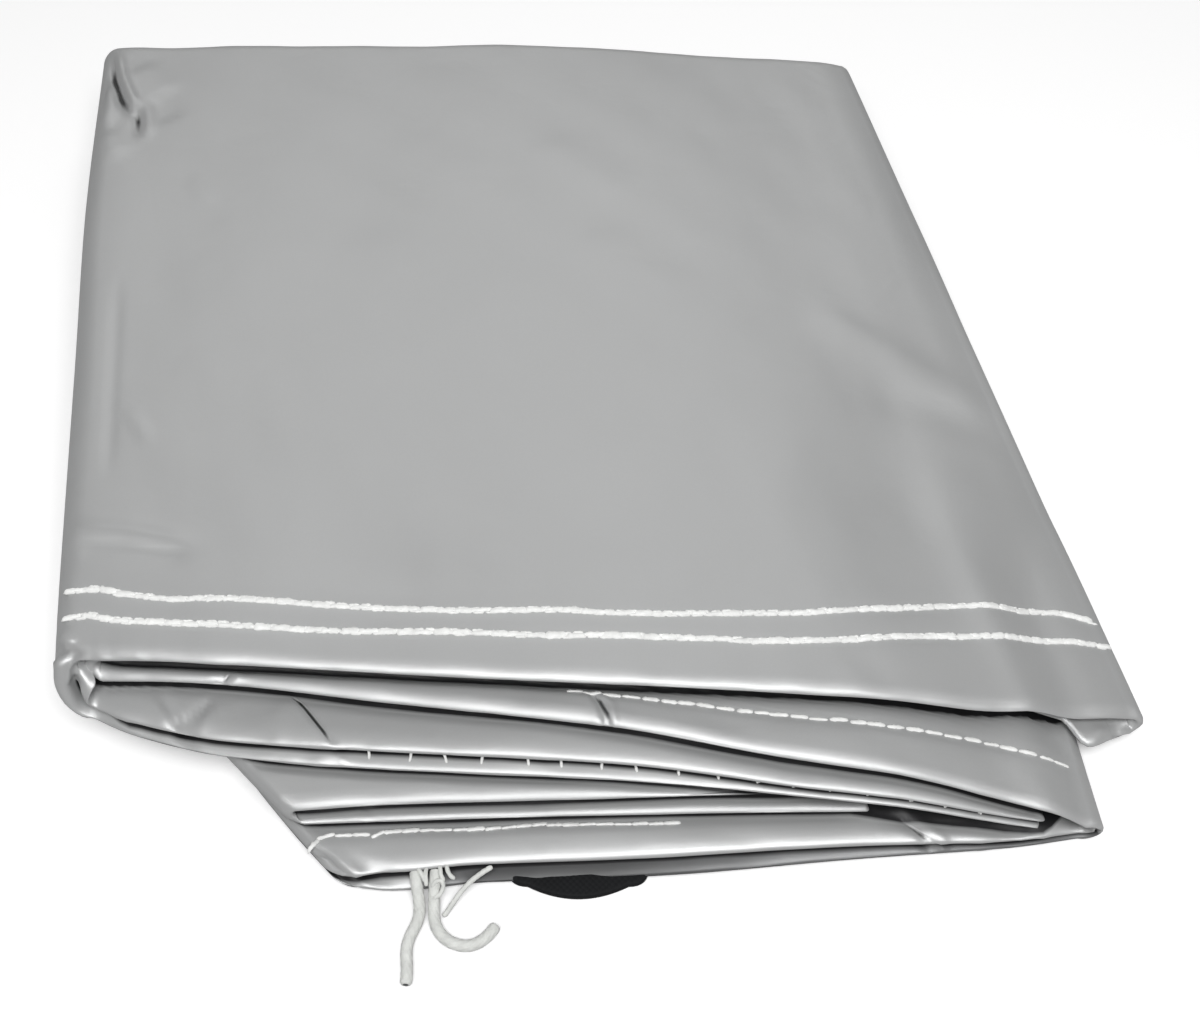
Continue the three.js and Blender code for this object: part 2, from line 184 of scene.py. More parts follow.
# %% Uneven tone group
def make_uneven_tone():
    group, given, out = start_group(
        "uneven tone",
        {
            "Place": (VECTOR, (0, 0, 0)),
            "Colour": (COLOUR, (0.5, 0.5, 0.5, 1)),
            "Patches per metre": (FLOAT, 12.0),
            "Patch strength": (FLOAT, 0.08),
            "Specks per metre": (FLOAT, 900.0),
            "Speck strength": (FLOAT, 0.05),
        },
        {"Colour": COLOUR, "Patch": FLOAT, "Speck": FLOAT},
    )
    patch = noise(group, given["Place"], given["Patches per metre"], 3.0)
    speck = noise(group, given["Place"], given["Specks per metre"], 2.0)
    shift = maths(group, "MULTIPLY", maths(group, "SUBTRACT", patch, 0.5), given["Patch strength"])
    grain = maths(group, "MULTIPLY", maths(group, "SUBTRACT", speck, 0.5), given["Speck strength"])
    value = maths(group, "ADD", maths(group, "ADD", shift, grain), 1.0)
    toned = add_node(
        group, "ShaderNodeVectorMath", {0: given["Colour"], 1: value}, operation="MULTIPLY"
    ).outputs[0]
    group.links.new(toned, out["Colour"])
    group.links.new(patch, out["Patch"])
    group.links.new(speck, out["Speck"])
    return group


uneven_tone = make_uneven_tone()
print("group:", uneven_tone.name, [s.name for s in uneven_tone.interface.items_tree])

# %% [markdown]
# ## Weave, shared by cloth and webbing
# A plain weave is two sets of threads that pass over and under each other. Two sine waves at right
# angles, multiplied, rise where a warp thread is on top and sink where a weft thread is. The group
# works on the mesh's UV map, which is laid out in metres, so a pitch is a real pitch.

# %% Weave group
def make_weave():
    group, given, out = start_group(
        "plain weave",
        {"Threads per metre": (FLOAT, 3000.0)},
        {"Height": FLOAT},
    )
    place = add_node(group, "ShaderNodeUVMap", uv_map="cloth_metres").outputs["UV"]
    apart = add_node(group, "ShaderNodeSeparateXYZ", {0: place}).outputs
    turn = maths(group, "MULTIPLY", given["Threads per metre"], math.pi)
    warp = maths(group, "SINE", maths(group, "MULTIPLY", apart[0], turn))
    weft = maths(group, "SINE", maths(group, "MULTIPLY", apart[1], turn))
    height = maths(group, "MULTIPLY_ADD", maths(group, "MULTIPLY", warp, weft), 0.5, 0.5)
    group.links.new(height, out["Height"])
    return group


weave = make_weave()
print("group:", weave.name)

# %% [markdown]
# ## White cord and sewing thread
# The drawcord is braided from soft white yarn, and the hems are sewn with a thick white thread. Both
# are matt, a little creamy and slightly fuzzy. A dull Principled shader with a sheen gives the soft
# edge, the shared tone group keeps the white from being flat, and a fine noise roughens it.

# %% White yarn materials
def make_yarn(name, colour, fibres_per_metre, roughness):
    material, tree, shader, place = start_material(name)
    tone = place_group(
        tree,
        uneven_tone,
        {
            "Place": place,
            "Colour": colour,
            "Patches per metre": 260.0,
            "Patch strength": 0.45,
            "Specks per metre": fibres_per_metre,
            "Speck strength": 0.14,
        },
    )
    tree.links.new(tone["Colour"], shader.inputs["Base Color"])
    tree.links.new(bump(tree, tone["Speck"], 0.6, 0.0003), shader.inputs["Normal"])
    shader.inputs["Roughness"].default_value = roughness
    shader.inputs["Sheen Weight"].default_value = 0.3
    return material


braid_white = make_yarn("braid_white", (0.66, 0.67, 0.645, 1), 2600.0, 0.85)
thread_white = make_yarn("thread_white", (0.86, 0.865, 0.85, 1), 3200.0, 0.7)
# Painted shade: a near-black yarn for the pit at each cut end of the cord
cut_end_shade_black = make_yarn("cord_end_painted_shade", (0.05, 0.052, 0.055, 1), 2600.0, 0.9)
print("yarns:", braid_white.name, thread_white.name, cut_end_shade_black.name)

# %% [markdown]
# ## A braided tube
# A cord could be a plain bevelled curve, but then its surface would be glass smooth. Instead a tube
# is swept along a smooth line, and its radius rises and falls with two sets of helices that cross,
# as braided strands do. Where the strand count is low, the same sweep makes a twisted thread.

# %% Smooth lines and braided tubes
def smooth_line(points, spacing):
    """Points along a Catmull-Rom curve through the given ones, about one spacing apart."""
    p = np.asarray(points, float)
    ends = np.vstack([2 * p[0] - p[1], p, 2 * p[-1] - p[-2]])
    fine = []
    for a, b, c, d in zip(ends, ends[1:], ends[2:], ends[3:]):
        t = np.linspace(0, 1, 24, endpoint=False)[:, None]
        bend = 2 * a - 5 * b + 4 * c - d + t * (3 * b - a - 3 * c + d)
        fine.append(b + 0.5 * t * (c - a + t * bend))
    fine = np.vstack([*fine, p[-1:]])
    along = np.concatenate([[0], np.cumsum(np.linalg.norm(np.diff(fine, axis=0), axis=1))])
    at = np.linspace(0, along[-1], max(3, round(along[-1] / spacing) + 1))
    return np.column_stack([np.interp(at, along, fine[:, k]) for k in range(3)])


def tube_frames(line):
    """Unit directions across a line that turn with it and never twist."""
    ahead = np.gradient(line, axis=0)
    ahead /= np.linalg.norm(ahead, axis=1)[:, None]
    side = np.cross(ahead[0], (0, 0, 1) if abs(ahead[0][2]) < 0.9 else (1, 0, 0))
    sides = []
    for direction in ahead:
        side = side - direction * (side @ direction)
        side /= np.linalg.norm(side)
        sides.append(side)
    return ahead, np.array(sides), np.cross(ahead, sides)


def tube_points(line, radius):
    """A ring of points round each point of a line. Radius is one row for each ring."""
    _, side, up = tube_frames(line)
    turn = np.linspace(0, 2 * math.pi, radius.shape[1], endpoint=False)
    sideways = np.cos(turn)[None, :, None] * side[:, None, :]
    upwards = np.sin(turn)[None, :, None] * up[:, None, :]
    return line[:, None, :] + radius[..., None] * (sideways + upwards)


def tube_faces(rings, sides, flip=False):
    """Quads between the rings of a tube, and then one face over each of its ends."""
    faces = []
    for start in range(0, (rings - 1) * sides, sides):
        for k in range(sides):
            a, b = start + k, start + (k + 1) % sides
            faces.append((a, b, b + sides, a + sides))
    last = (rings - 1) * sides
    faces += [tuple(reversed(range(sides))), tuple(range(last, last + sides))]
    return [face[::-1] for face in faces] if flip else faces


def braid_height(rings, sides, spacing, strands, pitch):
    """From 0 between strands to 1 on a strand, for crossing strands round a tube."""
    turn = np.linspace(0, 2 * math.pi, sides, endpoint=False)[None, :] * strands / 2
    along = (np.arange(rings) * spacing * 2 * math.pi / pitch)[:, None]
    one, other = np.cos(turn + along), np.cos(turn - along)
    over = np.where(np.cos(turn * 2) > 0, np.abs(one), np.abs(other))
    return 0.35 * (np.abs(one) + np.abs(other)) / 2 + 0.65 * over


print("sample line:", len(smooth_line([(0, 0, 0), (10, 0, 0), (10, 10, 0)], 1)), "points")

# %% [markdown]
# ## The drawcord's two ends and a loose thread
# A drawcord runs inside the lowest hem, and its two tied ends come out at the front, go down over
# the hem's roll and lie on the floor. The points are chosen from where each end shows. The far ends
# are cut, each with a pit painted near black as shade, and a thin loose thread leans on the hem.

# %% Routes of the cords
cord_diameter = 4.1
thread_diameter = 1.8
cord_left = [
    (-39.2, -205.1, 6.5), (-39, -207.1, 6.35), (-38.6, -209.2, 5.9), (-38.2, -211.2, 4.95),
    (-37.8, -213.2, 3.8), (-37.5, -215.3, 2.8), (-37.4, -217.4, 2.25), (-37.6, -219.6, 2.1),
    (-38.2, -221.8, 2.1), (-39.1, -224, 2.1), (-40, -226.4, 2.1), (-40.6, -229, 2.1),
    (-40.7, -231.8, 2.1), (-40.4, -234.6, 2.1), (-40.1, -237.4, 2.1), (-40, -240, 2.1),
    (-40.1, -242.6, 2.1),
]
cord_right = [
    (-32.3, -204.5, 6.5), (-32.3, -206.6, 6.35), (-32.4, -208.7, 5.9), (-32.5, -210.8, 4.95),
    (-32.5, -213, 3.8), (-32.5, -215.2, 2.8), (-32.4, -217.4, 2.25), (-32.2, -219.4, 2.1),
    (-31.7, -221.6, 2.1), (-30.6, -223.9, 2.1), (-28.9, -226, 2.1), (-26.7, -227.7, 2.1),
    (-24.1, -228.8, 2.1), (-21.4, -229.3, 2.1), (-18.7, -229, 2.1), (-16.3, -227.9, 2.1),
    (-14.2, -226.2, 2.1), (-12.5, -224.2, 2.1), (-11.2, -222.2, 2.1),
]
loose_thread = [
    (-29.3, -218.6, 1), (-28.4, -217.4, 1.3), (-27.4, -216.1, 1.9), (-26.3, -214.8, 2.8),
    (-25.1, -213.4, 3.9), (-23.8, -212, 5), (-22.5, -210.7, 5.9), (-21.1, -209.4, 6.6),
    (-19.6, -208, 7), (-18, -206.8, 7.3), (-16.3, -205.6, 7.6), (-14.6, -204.5, 7.8),
    (-12.9, -203.6, 8),
]
knot_strands = [
    [(-38.6, -203.8, 7.6), (-37.4, -205.6, 8.3), (-36.2, -207.6, 7.6), (-34.8, -209.6, 7.2)],
    [(-35.4, -203.6, 7.4), (-35.6, -205.8, 8.2), (-35.4, -208, 7.8), (-35.2, -210, 6.6)],
    [(-31, -203.2, 8), (-30.6, -205, 8.6), (-30.2, -207, 8.6), (-29.2, -208.8, 7.6)],
    [(-28.6, -203, 8), (-28.2, -204.8, 8.4), (-27.2, -206.6, 7.8), (-25.6, -207.6, 7)],
    [
        (-33.4, -210.5, 7), (-31.8, -208.9, 8), (-30, -208.9, 8.1), (-29.3, -210.4, 7.5),
        (-30, -212.2, 6.4), (-31.4, -213.4, 5.6), (-32.8, -213.8, 5.4),
    ],
]
strand_diameter = 1.5
print("cord points:", len(cord_left), len(cord_right), len(loose_thread))

# %% Cords as braided tubes
braid_spacing = 0.3
braid_sides = 40
braid_relief = 0.24


def braided_cord(name, route, node):
    line = smooth_line(route, braid_spacing)
    height = braid_height(len(line), braid_sides, braid_spacing, 8, 6.4)
    radius = cord_diameter / 2 + braid_relief * (height - 0.75)
    # The cut end frays outwards a little, closes in and sinks into a pit
    distance_left = np.linspace(len(line) - 1, 0, len(line))[:, None] * braid_spacing
    radius = radius * (1 - 0.22 * np.exp(-((distance_left / 0.5) ** 2)))
    rings = tube_points(line, radius)
    ahead = tube_frames(line)[0]
    centre = line[-1]
    lip = centre + (rings[-1] - centre) * 0.62 + ahead[-1] * 0.1
    pit = centre + (rings[-1] - centre) * 0.34 - ahead[-1] * 0.7
    start = line[0] + (rings[0] - line[0]) * 0.5 - ahead[0] * 0.2
    rings = np.concatenate([start[None], rings, lip[None], pit[None]])
    faces = tube_faces(len(rings), braid_sides, flip=True)
    piece = add_piece(name, rings.reshape(-1, 3), faces, [braid_white, cut_end_shade_black], "white_cord")
    # The pit of each cut end gets the near-black yarn: painted shade in the hollow
    dark = len(faces) - 1
    for face in [*range(dark - 1 - braid_sides, dark - 1), dark]:
        piece.data.polygons[face].material_index = 1
    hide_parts(node)
    return piece, line


def twisted_strand(route, diameter, plies=2, lay=5.0, sides=14, spacing=0.45):
    """Points and faces of a thin twisted thread with closed ends."""
    line = smooth_line(route, spacing)
    turn = np.linspace(0, 2 * math.pi, sides, endpoint=False)[None, :]
    along = (np.arange(len(line)) * spacing * 2 * math.pi / lay)[:, None]
    radius = diameter / 2 * (0.9 + 0.16 * np.abs(np.cos((turn * plies + along * plies) / 2)))
    tip = np.minimum(np.arange(len(line)), np.arange(len(line))[::-1])[:, None]
    rings = tube_points(line, radius * np.where(tip == 0, 0.55, np.where(tip == 1, 0.9, 1)))
    return rings.reshape(-1, 3), tube_faces(len(rings), sides, flip=True)


def joined(parts):
    """Several (points, faces) parts as one list of points and one of faces."""
    points, faces, start = [], [], 0
    for part_points, part_faces in parts:
        points.append(part_points)
        faces.extend(tuple(start + k for k in face) for face in part_faces)
        start += len(part_points)
    return np.vstack(points), faces


left_end, left_line = braided_cord("drawcord_left_end", cord_left, "cord_left")
right_end, right_line = braided_cord("drawcord_right_end", cord_right, "cord_right")
loose = twisted_strand(loose_thread, thread_diameter, plies=3, lay=6.0)
thread_end = add_piece("loose_thread", *loose, [braid_white], "white_cord")
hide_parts("cord_thread")
knot = joined([twisted_strand(strand, strand_diameter) for strand in knot_strands])
cord_knot = add_piece("drawcord_knot", *knot, [braid_white], "white_cord")


def length_of(line):
    return float(np.linalg.norm(np.diff(line, axis=0), axis=1).sum()) * MM


print("cord ends:", round(length_of(left_line), 4), round(length_of(right_line), 4), "m")

# %% [markdown]
# ## How the cloth is folded
# Cloth that is folded by hand is never even, so each layer needs its own lines: where its left and
# right folds run, how far its hem reaches, and how thick its plies lie. The tables list the layers
# from the floor up. A smooth curve that never overshoots reads each table at any place.

# %% Reading a table as a smooth curve
def lerp(a, b, t):
    return a + (b - a) * t


def smooth(t):
    t = np.clip(t, 0, 1)
    return t * t * (3 - 2 * t)


def read_off(rows, at):
    """A smooth curve through rows of (place, value), read at one or many places."""
    places, values = np.array(sorted(rows), float).T
    slopes = np.diff(values) / np.diff(places)
    before, after = slopes[:-1], slopes[1:]
    both = np.where(before + after == 0, 1, before + after)
    inner = np.where(before * after <= 0, 0, 2 * before * after / both)
    tangents = np.concatenate([slopes[:1], inner, slopes[-1:]])
    at = np.clip(at, places[0], places[-1])
    i = np.clip(np.searchsorted(places, at, side="right") - 1, 0, len(slopes) - 1)
    span = places[i + 1] - places[i]
    t = (at - places[i]) / span
    bow = t * (1 - t) ** 2 * tangents[i] + t * t * (t - 1) * tangents[i + 1]
    return lerp(values[i], values[i + 1], smooth(t)) + span * bow


print("halfway up a ramp:", float(read_off([(0, 0), (10, 5)], 5)))

# %% Fold lines in plan, as rows of (depth y, place x)
outer_left = [(210, -211), (100, -197), (0, -180.5), (-148, -156.5)]
inner_left = [(210, -200), (0, -171), (-148, -151.5)]
lower_left = [(210, -204), (0, -174), (-105, -150), (-148, -119), (-170, -98), (-190, -78)]
bottom_left = [(210, -200), (0, -170), (-110, -143), (-160, -104), (-188, -80), (-211, -58)]
top_right = [(210, 142), (40, 173), (-75, 201.5), (-152, 216.5)]
nested_right = [(210, 127), (0, 163), (-110, 186), (-150, 191), (-190, 192)]
middle_right = [(210, 110), (0, 140), (-150, 168), (-190, 175)]
tongue_right = [(210, 0), (0, 62), (-186, 117)]
print("top panel, front width:", top_right[-1][1] - outer_left[-1][1], "mm")

# %% Layers from the floor up
layers = [
    dict(
        name="bottom", left=bottom_left, right=nested_right, back=208.5,
        thick=(9, 10, 8.5, 6.5, 4), fade_front=46, fade_back=100, two_hems=1,
        front=[(-58, -209), (-48, -210.2), (-17, -207.4), (40, -204.9), (115, -198),
               (168, -193.6), (194, -189.5)],
        step=[(-58, 2), (-45, 4.5), (40, 4.5), (168, 1)],
        slit=[(-58, 0.2), (-50, 0.27), (-20, 0.24), (60, 0.1)],
    ),
    dict(
        name="tongue", left=lower_left, right=tongue_right, back=206.5,
        thick=(4.5, 4.5, 3.5, 3, 3), fade_front=60, fade_back=110, two_hems=0,
        front=[(-79, -190.6), (-20, -188.6), (60, -186.4), (119, -184.8)],
        step=None, slit=None,
    ),
    dict(
        name="third", left=lower_left, right=middle_right, back=208,
        thick=(5.5, 5.5, 4.5, 3.2, 3), fade_front=26, fade_back=140, two_hems=0,
        front=[(-81, -188.7), (-50, -186.5), (24, -184.3), (100, -181.6), (175, -186)],
        step=None, slit=None,
    ),
    dict(
        name="middle", left=outer_left, right=middle_right, back=209.5,
        thick=(8, 8, 6, 4, 3.5), fade_front=26, fade_back=140, two_hems=1,
        front=[(-167, -148.4), (-137, -162), (-104, -170.7), (-55, -175.3), (24, -179.5),
               (113, -186.4), (175, -191.4)],
        step=[(-160, 2.4), (-120, 3.6), (-55, 5), (24, 4.5), (90, 1.8)],
        slit=[(-160, 0.3), (-120, 0.3), (-85, 0.18), (175, 0.12)],
    ),
    dict(
        name="nested", left=inner_left, right=nested_right, back=207.5,
        thick=(5.5, 5.5, 5, 4.5, 4), fade_front=46, fade_back=100, two_hems=0,
        front=[(-158, -144.4), (-110, -147.4), (-50, -155.2), (24, -164.2), (85, -174.9),
               (140, -181.4), (196, -192)],
        step=None, slit=None,
    ),
    dict(
        name="under", left=inner_left, right=top_right, back=208.5,
        thick=(5, 5, 5, 5, 5), fade_front=34, fade_back=100, two_hems=0,
        front=[(-160, -140), (-100, -143), (-10, -149), (70, -152.5), (150, -152), (190, -150.5),
               (198, -160), (208, -156), (219, -150)],
        step=None, slit=None,
    ),
    dict(
        name="top", left=outer_left, right=top_right, back=210.5,
        thick=(5.5, 5.5, 5.5, 5.5, 5.5), fade_front=34, fade_back=100, two_hems=0,
        front=[(-160, -143.5), (-100, -147.4), (-10, -153.4), (70, -156.8), (150, -157.5),
               (218, -149.5)],
        step=None, slit=None,
    ),
]
thick_places = (0, 0.5, 0.74, 0.87, 0.955)
print("layers:", ", ".join(layer["name"] for layer in layers))

# %% [markdown]
# ## Where each layer lies
# A layer lies on everything below it, so its height is the sum of the layers underneath, and where
# one of those ends at its fold the layers above come down past it. The right front corner is also
# pressed thin, as if a hand had rested there. These few functions hold all of that.

# %% Thickness and height of a layer
layer_gap = 1.0
pinch_front, pinch_back, pinch_at_back = -125, 95, 0.2
fold_clearance = 3
corner_reach, corner_droop = 60, 0.15


def pinch(y):
    return lerp(pinch_at_back, 1, smooth((pinch_back - y) / (pinch_back - pinch_front)))


def thickness(layer, x, y):
    left, right = read_off(outer_left, y), read_off(top_right, y)
    place = (x - left) / (right - left)
    pressed = read_off(list(zip(thick_places, layer["thick"])), place)
    loose = np.maximum(pressed, layer["thick"][1])
    return np.where(place < thick_places[1], pressed, lerp(loose, pressed, pinch(y)))


def support(layer, x, y):
    """The share of a layer's height that still carries what lies above it."""
    fade = lerp(layer["fade_back"], layer["fade_front"], pinch(y))
    past_right = smooth((x - read_off(layer["right"], y) - fold_clearance) / fade)
    past_left = smooth((read_off(layer["left"], y) - x) / corner_reach) * corner_droop
    return (1 - past_right) * (1 - past_left)


def middle_height(layer, x, y):
    below = layers[: layers.index(layer)]
    heap = sum((thickness(under, x, y) + layer_gap) * support(under, x, y) for under in below)
    return heap + thickness(layer, x, y) / 2


def layer_named(name):
    return next(layer for layer in layers if layer["name"] == name)


top_layer = layer_named("top")
top_middle = middle_height(top_layer, 0, 0) + thickness(top_layer, 0, 0) / 2
print("top panel's height in the middle:", round(float(top_middle), 1), "mm")

# %% [markdown]
# ## One cross section of the band
# Seen end on, a layer is a flat loop: a round fold at the back, two long faces, and a hem at the
# front. Most hems are one soft roll that slopes further back on its upper side. On the lowest and
# the middle layer two hems lie together with a narrow slit between them. Points stand close
# together at the front, where folds catch the light.

# %% Ring of a section
near_shares = np.concatenate([np.linspace(0.12, 1, 9)[:0:-1], np.linspace(0.12, 0.005, 22)])
back_count, near_count, hem_count, far_count = 7, len(near_shares), 31, 112
slit_depth = 0.9
undercut = 1.0
# Depths of the rolls, in thicknesses
long_roll, least_roll, half_roll = 1.1, 0.4, 0.75
slit_upper, slit_lower = 0.25, 0.85
# A hem's ring is its first roll up to here, its last one from there, and a slit between the two
first_end, last_start = 0.4, 0.6


def hem_profile(two_hems, up, slit):
    """Across, from 1 on one face to -1 on the other, and behind the tip, in thicknesses.

    Up is 1 where the first face is the upper one and -1 where it is the lower one. The lower
    side of a hem draws back, so that a dark hollow lies under the roll.
    """
    u = np.linspace(0, 1, hem_count)[None, :]
    # The upper side of a roll slopes back further than its lower side
    first, last = (
        np.maximum(np.where(up * face > 0, long_roll * np.abs(up) ** 0.5, 0.0), least_roll)
        for face in (1, -1)
    )
    inner_first, inner_last = (np.where(up * face > 0, slit_upper, slit_lower) for face in (1, -1))
    single = (np.cos(math.pi * u), np.where(u < 0.5, first, last) * (1 - np.sin(math.pi * u)))
    lobe = (1 - slit) / 2
    upper, lower = math.pi * u / 0.4, math.pi * (u - last_start) / 0.4
    inside = np.clip((u - first_end) / 0.2, 0, 1)
    across = np.where(
        u < first_end,
        1 - lobe + lobe * np.cos(upper),
        np.where(u > last_start, lobe - 1 + lobe * np.cos(lower), slit * (1 - 2 * inside)),
    )
    behind = np.where(
        u < first_end,
        np.where(u < 0.2, half_roll * first, inner_first) * (1 - np.sin(upper)),
        np.where(
            u > last_start,
            np.where(u > 0.8, half_roll * last, inner_last) * (1 - np.sin(lower)),
            lerp(inner_first, inner_last, inside) + slit_depth * np.sin(math.pi * inside),
        ),
    )
    across = lerp(single[0], across, two_hems)
    behind = lerp(single[1], behind, two_hems)
    start = lerp(0.35, -0.5, two_hems)
    below = np.clip((start - up * across) / (start + 1), 0, 1)
    return across, behind + undercut * below**1.6, (1 - smooth(inside)) * two_hems


def ring_of_section(two_hems, up, slit, step, thick, tip_to_back):
    """Across and distance behind the tip, or before the back for the first points of a ring."""
    across, behind, lifted = hem_profile(two_hems, up, slit)
    hem = behind * thick + step * lifted
    across = np.broadcast_to(across, hem.shape)
    turn = np.linspace(0, math.pi, back_count)[None, :]
    back_across = np.broadcast_to(-np.cos(turn), (len(thick), back_count))
    back = 0.5 * (1 - np.sin(turn)) * thick
    even = np.linspace(0, 1, far_count + 2)[None, 1:-1]
    reach = tip_to_back - 0.5 * thick
    near_face = lerp(hem[:, :1], reach, near_shares[None, :])
    far_face = lerp(hem[:, -1:], reach, lerp(even**1.7, smooth(even), 0.6))
    one = np.ones_like(near_face)
    offsets = np.hstack([back, near_face, hem, far_face])
    across = np.hstack([back_across, one, across, -np.ones_like(far_face)])
    return across, offsets


from_back = np.arange(back_count + near_count + hem_count + far_count) < back_count
print("points round a section:", len(from_back))

# %% [markdown]
# ## Along the band
# The band runs to the right in the lowest layer, turns up and back in a fold, and so on through
# seven layers. A run is a row of sections from one fold line to the other, and a fold is a few
# sections round a half turn. Sections stand closer where a crease needs more detail.

# %% Places in a layer
cheek_reach = 14


def front_of(layer, share):
    """The x of both ends of a front, and x and y of its tip at a share of the way between."""
    left_end = read_off(layer["left"], layer["front"][0][1])
    right_end = read_off(layer["right"], layer["front"][-1][1])
    front_x = lerp(left_end, right_end, share)
    return (left_end, right_end), front_x, read_off(layer["front"], front_x)


def place_in_layer(layer, share, offsets):
    ends, _, tip = front_of(layer, share)
    y = np.where(from_back, layer["back"] - offsets, tip + offsets)
    depth = np.clip((layer["back"] - y) / (layer["back"] - tip), 0, 1)
    left_y, right_y = (lerp(layer["back"], read_off(layer["front"], x), depth) for x in ends)
    x = lerp(read_off(layer["left"], left_y), read_off(layer["right"], right_y), share)
    return x, y, middle_height(layer, x, y), thickness(layer, x, y) / 2


def front_facts(layer, share):
    """The hem's thickness, its step, its slit and the depth of the layer, at a share."""
    _, front_x, tip = front_of(layer, share)
    step = read_off(layer["step"], front_x) if layer["step"] else 0 * tip
    slit = read_off(layer["slit"], front_x) if layer["slit"] else 0 * tip + 0.05
    return thickness(layer, front_x, tip), step, slit, layer["back"] - tip


def run_sections(layer, shares, direction, past_end):
    """Sections of a run. Past end is over 0 for the rounded sections beyond a free end."""
    share = np.asarray(shares, float)[:, None]
    past = np.asarray(past_end, float)[:, None]
    thick, step, slit, depth = front_facts(layer, share)
    shrink = np.sqrt(1 - past**2)
    inset = (1 - shrink) * thick / 2
    across, offsets = ring_of_section(
        layer["two_hems"], direction, slit, step, thick, depth - 2 * inset
    )
    x, y, z, half = place_in_layer(layer, share, offsets + inset)
    outward = np.where(share < 0.5, -1, 1)
    x = x + outward * past * half
    return np.stack([x, y, z + direction * across * half * shrink], axis=-1)


def fold_sections(lower, upper, side, bulge, steps, cheek):
    """Sections round a fold. A cheek fills the hollow of the fold at its front."""
    t = (np.arange(1, steps) / steps)[:, None]
    share = np.full_like(t, 1.0 if side > 0 else 0.0)
    facts = [front_facts(layer, share) for layer in (lower, upper)]
    thick, step, slit, depth = (lerp(a, b, t) for a, b in zip(*facts))
    two_hems = lerp(lower["two_hems"], upper["two_hems"], smooth(t))
    across, offsets = ring_of_section(two_hems, side * (1 - 2 * t), slit, step, thick, depth)
    near_front = np.exp(-((offsets / cheek_reach) ** 2)) * ~from_back
    ax, ay, az, ahalf = place_in_layer(lower, share, offsets)
    bx, by, bz, bhalf = place_in_layer(upper, share, offsets)
    rise = (bz - az) / 2
    out = np.abs(rise) if bulge == 0 else np.minimum(bulge, np.abs(rise) * 1.2)
    turn = math.pi * t
    run, climb = side * out * np.cos(turn), rise * np.sin(turn)
    length = np.hypot(run, climb)
    half = across * lerp(ahalf, bhalf, t)
    half = half + cheek * (side * np.sign(rise) + across) / 2 * np.sin(turn) ** 0.8 * near_front
    x = lerp(ax, bx, t) + side * out * np.sin(turn) - half * climb / length
    z = az + rise * (1 - np.cos(turn)) + half * run / length
    return np.stack([x, lerp(ay, by, smooth(t)), z], axis=-1)


print("sections of a short run:", run_sections(top_layer, [0.2, 0.8], 1, [0, 0]).shape)

# %% The way through the layers
way = [
    dict(run="bottom", to_right=True, count=48, finer=[(0.76, 0.84, 10)]),
    dict(fold=1, bulge=7, count=12, cheek=0),
    dict(run="nested", to_right=False, count=58, finer=[(0.12, 0.15, 5), (0.5, 0.54, 12)]),
    dict(fold=-1, bulge=0, count=8, cheek=0),
    dict(run="under", to_right=True, count=26, finer=[(0.93, 0.99, 12)]),
    dict(fold=1, bulge=0, count=8, cheek=0),
    dict(run="top", to_right=False, count=112, finer=[(0.0, 0.07, 14)]),
    dict(fold=-1, bulge=8, count=16, cheek=8),
    dict(run="middle", to_right=True, count=56, finer=[(0.07, 0.14, 12), (0.2, 0.32, 34)]),
    dict(fold=1, bulge=0, count=10, cheek=0),
    dict(run="third", to_right=False, count=34, finer=[]),
    dict(fold=-1, bulge=0, count=8, cheek=0),
    dict(run="tongue", to_right=True, count=26, finer=[(0.08, 0.14, 5)]),
]
end_rounding = (0.99, 0.92, 0.8, 0.6, 0.35)


def shares_of_run(stretch):
    """Shares from 0 to 1, closer together at both ends and where a crease needs them."""
    even = (1 - np.cos(np.linspace(0, math.pi, stretch["count"]))) / 2
    even = lerp(np.linspace(0, 1, stretch["count"]), even, 0.5)
    extra = [np.linspace(low, high, count) for low, high, count in stretch["finer"]]
    shares = np.unique(np.concatenate([even, *extra]))
    # Two sections are never closer than a thousandth of the width
    kept = shares[np.concatenate([[True], np.diff(shares) > 0.001])]
    kept[-1] = 1.0
    return kept


def sections_along_way():
    """All sections in order, and for each the name of the layer that it is nearest to."""
    sections, names = [], []
    for i, stretch in enumerate(way):
        if "run" in stretch:
            layer = layer_named(stretch["run"])
            shares = shares_of_run(stretch)
            past = np.zeros_like(shares)
            if i == 0:
                shares = np.concatenate([np.zeros(len(end_rounding)), shares])
                past = np.concatenate([end_rounding, past])
            if not stretch["to_right"]:
                shares, past = shares[::-1], past[::-1]
            if i == len(way) - 1:
                shares = np.concatenate([shares, np.ones(len(end_rounding))])
                past = np.concatenate([past, end_rounding[::-1]])
            made = run_sections(layer, shares, 1 if stretch["to_right"] else -1, past)
            names += [layer["name"]] * len(made)
        else:
            lower, upper = layer_named(way[i - 1]["run"]), layer_named(way[i + 1]["run"])
            made = fold_sections(
                lower, upper, stretch["fold"], stretch["bulge"], stretch["count"], stretch["cheek"]
            )
            half_way = len(made) // 2
            names += [lower["name"]] * half_way + [upper["name"]] * (len(made) - half_way)
        sections.append(made)
    return np.concatenate(sections), np.array(names)


band, band_layer = sections_along_way()
print("band:", band.shape[0], "sections of", band.shape[1], "points")

# %% [markdown]
# ## Creases, puckers and laps
# Coated cloth keeps every crease that it was pressed into. Each row below is one that shows: how
# wide and how high it is, the line it follows in plan, and for a lap how far the raised ply reaches.
# They are added to the smooth band as soft ridges (height over 0) and troughs (height under 0).

